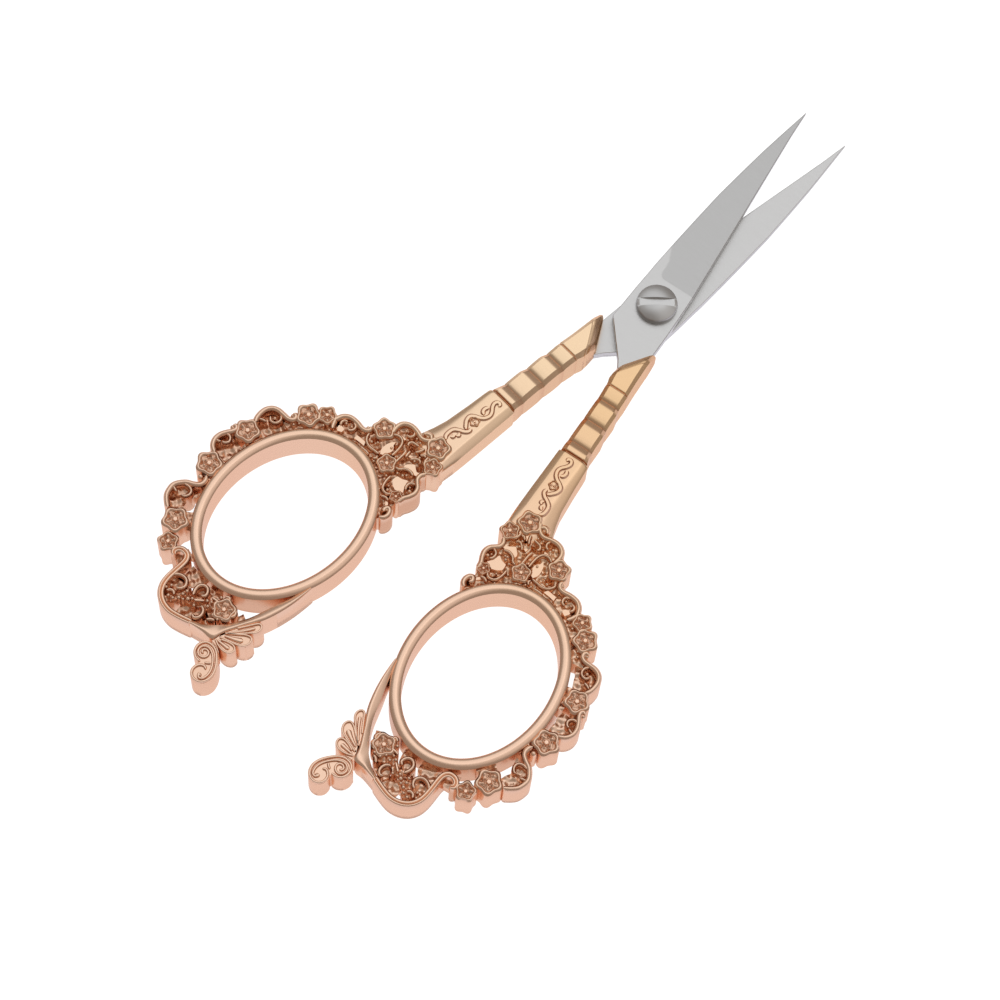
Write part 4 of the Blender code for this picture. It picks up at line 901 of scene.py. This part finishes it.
# These plates, and the leaf plates below, carry a little painted shade, the knuckle plate more.
foot += [web(FOOT_RIM, FOOT_RIM_BACK, 5.66, 0.0, 20, 0.15), bead(-86.0, 1.85, 0.28, THICK - 0.05)]
foot.append(web([(-82.2, 3.0), (-81.4, 4.6), (-80.8, 4.6)],
                [(-81.9, 2.6), (-81.2, 3.8), (-80.6, 4)], 5.4, 0, 8, 0.5))
PALMETTE = [
    [(-81, 4.3), (-81.3, 3.4), (-81.4, 2.5), (-81.2, 1.75), (-80.7, 1.3), (-80.1, 1.35), (-79.85, 1.9),
     (-80.05, 2.8), (-80.5, 3.7)],
    [(-80.4, 4.1), (-80, 3.2), (-79.6, 2.1), (-79.15, 1.2), (-78.45, 0.7), (-77.75, 0.7), (-77.3, 1.15),
     (-77.6, 1.9), (-78.4, 2.8), (-79.3, 3.8)],
    [(-79.5, 4), (-78.4, 2.9), (-77.2, 1.9), (-76.35, 1.2), (-75.6, 1.1), (-75.1, 1.45), (-75.2, 1.9),
     (-75.9, 2.35), (-76.9, 2.9), (-77.8, 3.4)],
]
LEAVES = [
    ([(-80.9, 4), (-80.75, 2.9), (-80.6, 1.95)], (0.3, 0.75)),
    ([(-79.8, 3.8), (-79.1, 2.5), (-78.45, 1.5)], (0.25, 0.95)),
    ([(-78.9, 3.6), (-77.4, 2.55), (-75.95, 1.75)], (0.3, 0.55)),
]
foot += [wire(points, 0.36, shape=ROLL_EDGE) for points in PALMETTE]
foot += [wire(points, width, THICK - 0.08, ROLL_EDGE) for points, width in LEAVES]
LEAF_PLATES = [
    ([(-81.5, 4.4), (-81.5, 2.4), (-80.9, 1.2)], [(-80.2, 4.3), (-79.8, 2.2), (-80, 1.2)]),
    ([(-80.4, 4.3), (-79.65, 1.8), (-78.8, 0.6)], [(-78.8, 3.6), (-77.3, 1.9), (-77.4, 0.6)]),
    ([(-79.4, 4.1), (-77.2, 1.8), (-76, 0.95)], [(-77.2, 3.3), (-75.2, 2.2), (-75, 1.2)]),
]
foot += [web(first, second, 5.64, 0.0, 8, 0.15) for first, second in LEAF_PLATES]
cast_piece("heel_scroll", foot)

# Vine: a raised line that wanders along the shank's face, with one small flower and a tuft.
VINE = [
    [(-37.3, 4.8), (-36.9, 5.2), (-36.2, 5.3), (-35.5, 5.15), (-35, 4.6), (-34.6, 3.9), (-34.1, 3.5),
     (-33.5, 3.6)],
    [(-34.2, 4), (-33.7, 4.5), (-33.1, 4.95), (-32.4, 5.05), (-31.9, 4.6), (-31.5, 3.9), (-31, 3.4),
     (-30.3, 3.2), (-29.7, 3.4), (-29.1, 3.9), (-28.5, 4.15), (-28, 3.95), (-28, 3.5), (-28.4, 3.4)],
    [(-30.8, 3.9), (-30.5, 4.35), (-30, 4.45), (-29.5, 4.2)],
    [(-36.6, 4.7), (-36.2, 4.4), (-35.9, 4.5)],
    [(-35.9, 4.2), (-35.5, 4), (-35.3, 4.3)],
]
# The third row is painted shade on the vine's sides.
RAISED = section([1.0, 1.0, 0.94, 0.76, 0.64, 0.52, 0.4, 0.0],
                 [0.5, 0.25, 0.24, 0.23, 0.18, 0.06, 0.01, 0.0],
                 [1.0, 1.0, 1.0, 1.0, 1.0, 0.5, 0.0, 0.0])
# Places along the shank, and how far below 6 mm its face lies there, as in the rows of the neck.
SHANK_FACE = ((-39, -37, -35, -31, -28.2), (0.54, 0.46, 0.4, 0.34, 0.3))
VINE_RISE = 0.24
vine = []
for points in VINE:
    path = smooth(points, 0.1, 0.24)
    level = THICK + VINE_RISE - np.interp(path[:, 0], *SHANK_FACE)
    vine.append(bar(path, 0.44, *RAISED, level))
vine.append(flower(-32.5, 4.0, 0.85, 40, THICK - 0.1))
cast_piece("shank_vine", vine)

# Studio: a white sweep under one broad soft light from overhead, with darker walls round it. The
# floor is stage only, and shows white to the camera. In the metal it is mirrored as a warm grey beyond
# the lower half's ring and as a cool white nearer than that, going by its own place alone.
white_sweep, tree = new_material("white_sweep")
matt = add(tree, "BsdfDiffuse", {"Color": linear("#F3F3F3")}).outputs["BSDF"]
glow = add(tree, "Emission", {"Color": linear("#FFFFFF"), "Strength": 1.3}).outputs["Emission"]
shown = add(tree, "MixShader", {"Fac": 0.8, 1: matt, 2: glow}).outputs["Shader"]
place = add(tree, "TexCoord").outputs["Object"]
sideways = add(tree, "SeparateXYZ", {"Vector": place}).outputs["Y"]
near_side = add(tree, "MapRange", {
    "Value": sideways, "From Min": 0.08, "From Max": 0.045,
}).outputs["Result"]
mirrored_tone = add(tree, "Mix", {
    "Factor": near_side, 6: linear("#AEA495"), 7: linear("#F5F1F9"),
}, data_type="RGBA").outputs[2]
mirrored = add(tree, "Emission", {"Color": mirrored_tone, "Strength": 1.0}).outputs["Emission"]
to_camera = add(tree, "LightPath").outputs["Is Camera Ray"]
either = add(tree, "MixShader", {"Fac": to_camera, 1: mirrored, 2: shown}).outputs["Shader"]
add(tree, "OutputMaterial", {"Surface": either})
FLOOR_Z = -0.0002
floor_mesh = bpy.data.meshes.new("white_floor")
corners = [(x, y, FLOOR_Z) for x, y in ((-3, -3), (3, -3), (3, 3), (-3, 3))]
floor_mesh.from_pydata(corners, [], [(0, 1, 2, 3)])
floor_mesh.materials.append(white_sweep)
floor = bpy.data.objects.new("white_floor", floor_mesh)
bpy.context.collection.objects.link(floor)

# The light is the world itself: it grows from a warm dim wall to a bright patch overhead, with a weak
# fill from the front. A row of the sky is how near to the patch's middle, and the light there.
world = bpy.data.worlds.new("soft_overhead")
bpy.context.scene.world = world
world.use_nodes = True
tree = world.node_tree
tree.nodes.clear()
toward = add(tree, "TexCoord").outputs["Generated"]
height = add(tree, "VectorMath", {0: toward, 1: (0.34, 0.38, 0.86)}, operation="DOT_PRODUCT")
ramp = add(tree, "ValToRGB", {"Fac": height.outputs["Value"]})
ramp.color_ramp.interpolation = "B_SPLINE"
SKY = ((0.0, (0.34, 0.30, 0.27, 1)), (0.5, (0.34, 0.30, 0.27, 1)), (0.78, (0.36, 0.33, 0.30, 1)),
       (0.86, (0.55, 0.53, 0.51, 1)), (0.92, (1.12, 1.12, 1.12, 1)), (1.0, (1.2, 1.2, 1.2, 1)))
stops = ramp.color_ramp.elements
for row in SKY[1:-1]:
    stops.new(row[0])
for stop, row in zip(stops, SKY):
    stop.color = row[1]
front = add(tree, "VectorMath", {0: toward, 1: (0.33, -0.42, 0.845)}, operation="DOT_PRODUCT")
fill = add(tree, "MapRange", {
    "Value": front.outputs["Value"], "From Min": 0.78, "From Max": 0.96, "To Max": 0.4,
}).outputs["Result"]
light = add(tree, "VectorMath", {0: ramp.outputs["Color"], 1: fill}, operation="ADD")
sky = add(tree, "Background", {"Color": light.outputs["Vector"], "Strength": 1.0})
add(tree, "OutputWorld", {"Surface": sky.outputs["Background"]})

# Camera: a long lens high above the heel, looking down along the scissors.
AIM = np.array([-13.98, -2.49, 3.0])
DISTANCE = 423.246
HEADING = math.radians(34.5616)
LOOK_DOWN = math.radians(67.5619)
ROLL = math.radians(-6.5304)
forward = np.array([math.cos(HEADING) * math.cos(LOOK_DOWN), math.sin(HEADING) * math.cos(LOOK_DOWN),
                    -math.sin(LOOK_DOWN)])
level_right = np.cross(forward, (0, 0, 1))
level_right /= np.linalg.norm(level_right)
level_up = np.cross(level_right, forward)
up = level_up * math.cos(ROLL) + level_right * math.sin(ROLL)
right = level_right * math.cos(ROLL) - level_up * math.sin(ROLL)
camera = bpy.data.objects.new("camera", bpy.data.cameras.new("camera"))
camera.data.lens = 108
camera.data.sensor_width = 36
spot = (AIM - forward * DISTANCE) / 1000
bpy.context.collection.objects.link(camera)
camera.matrix_world = Matrix([(right[k], up[k], -forward[k], spot[k]) for k in range(3)] + [(0, 0, 0, 1)])
bpy.context.scene.camera = camera
bpy.context.scene.view_settings.view_transform = "Standard"
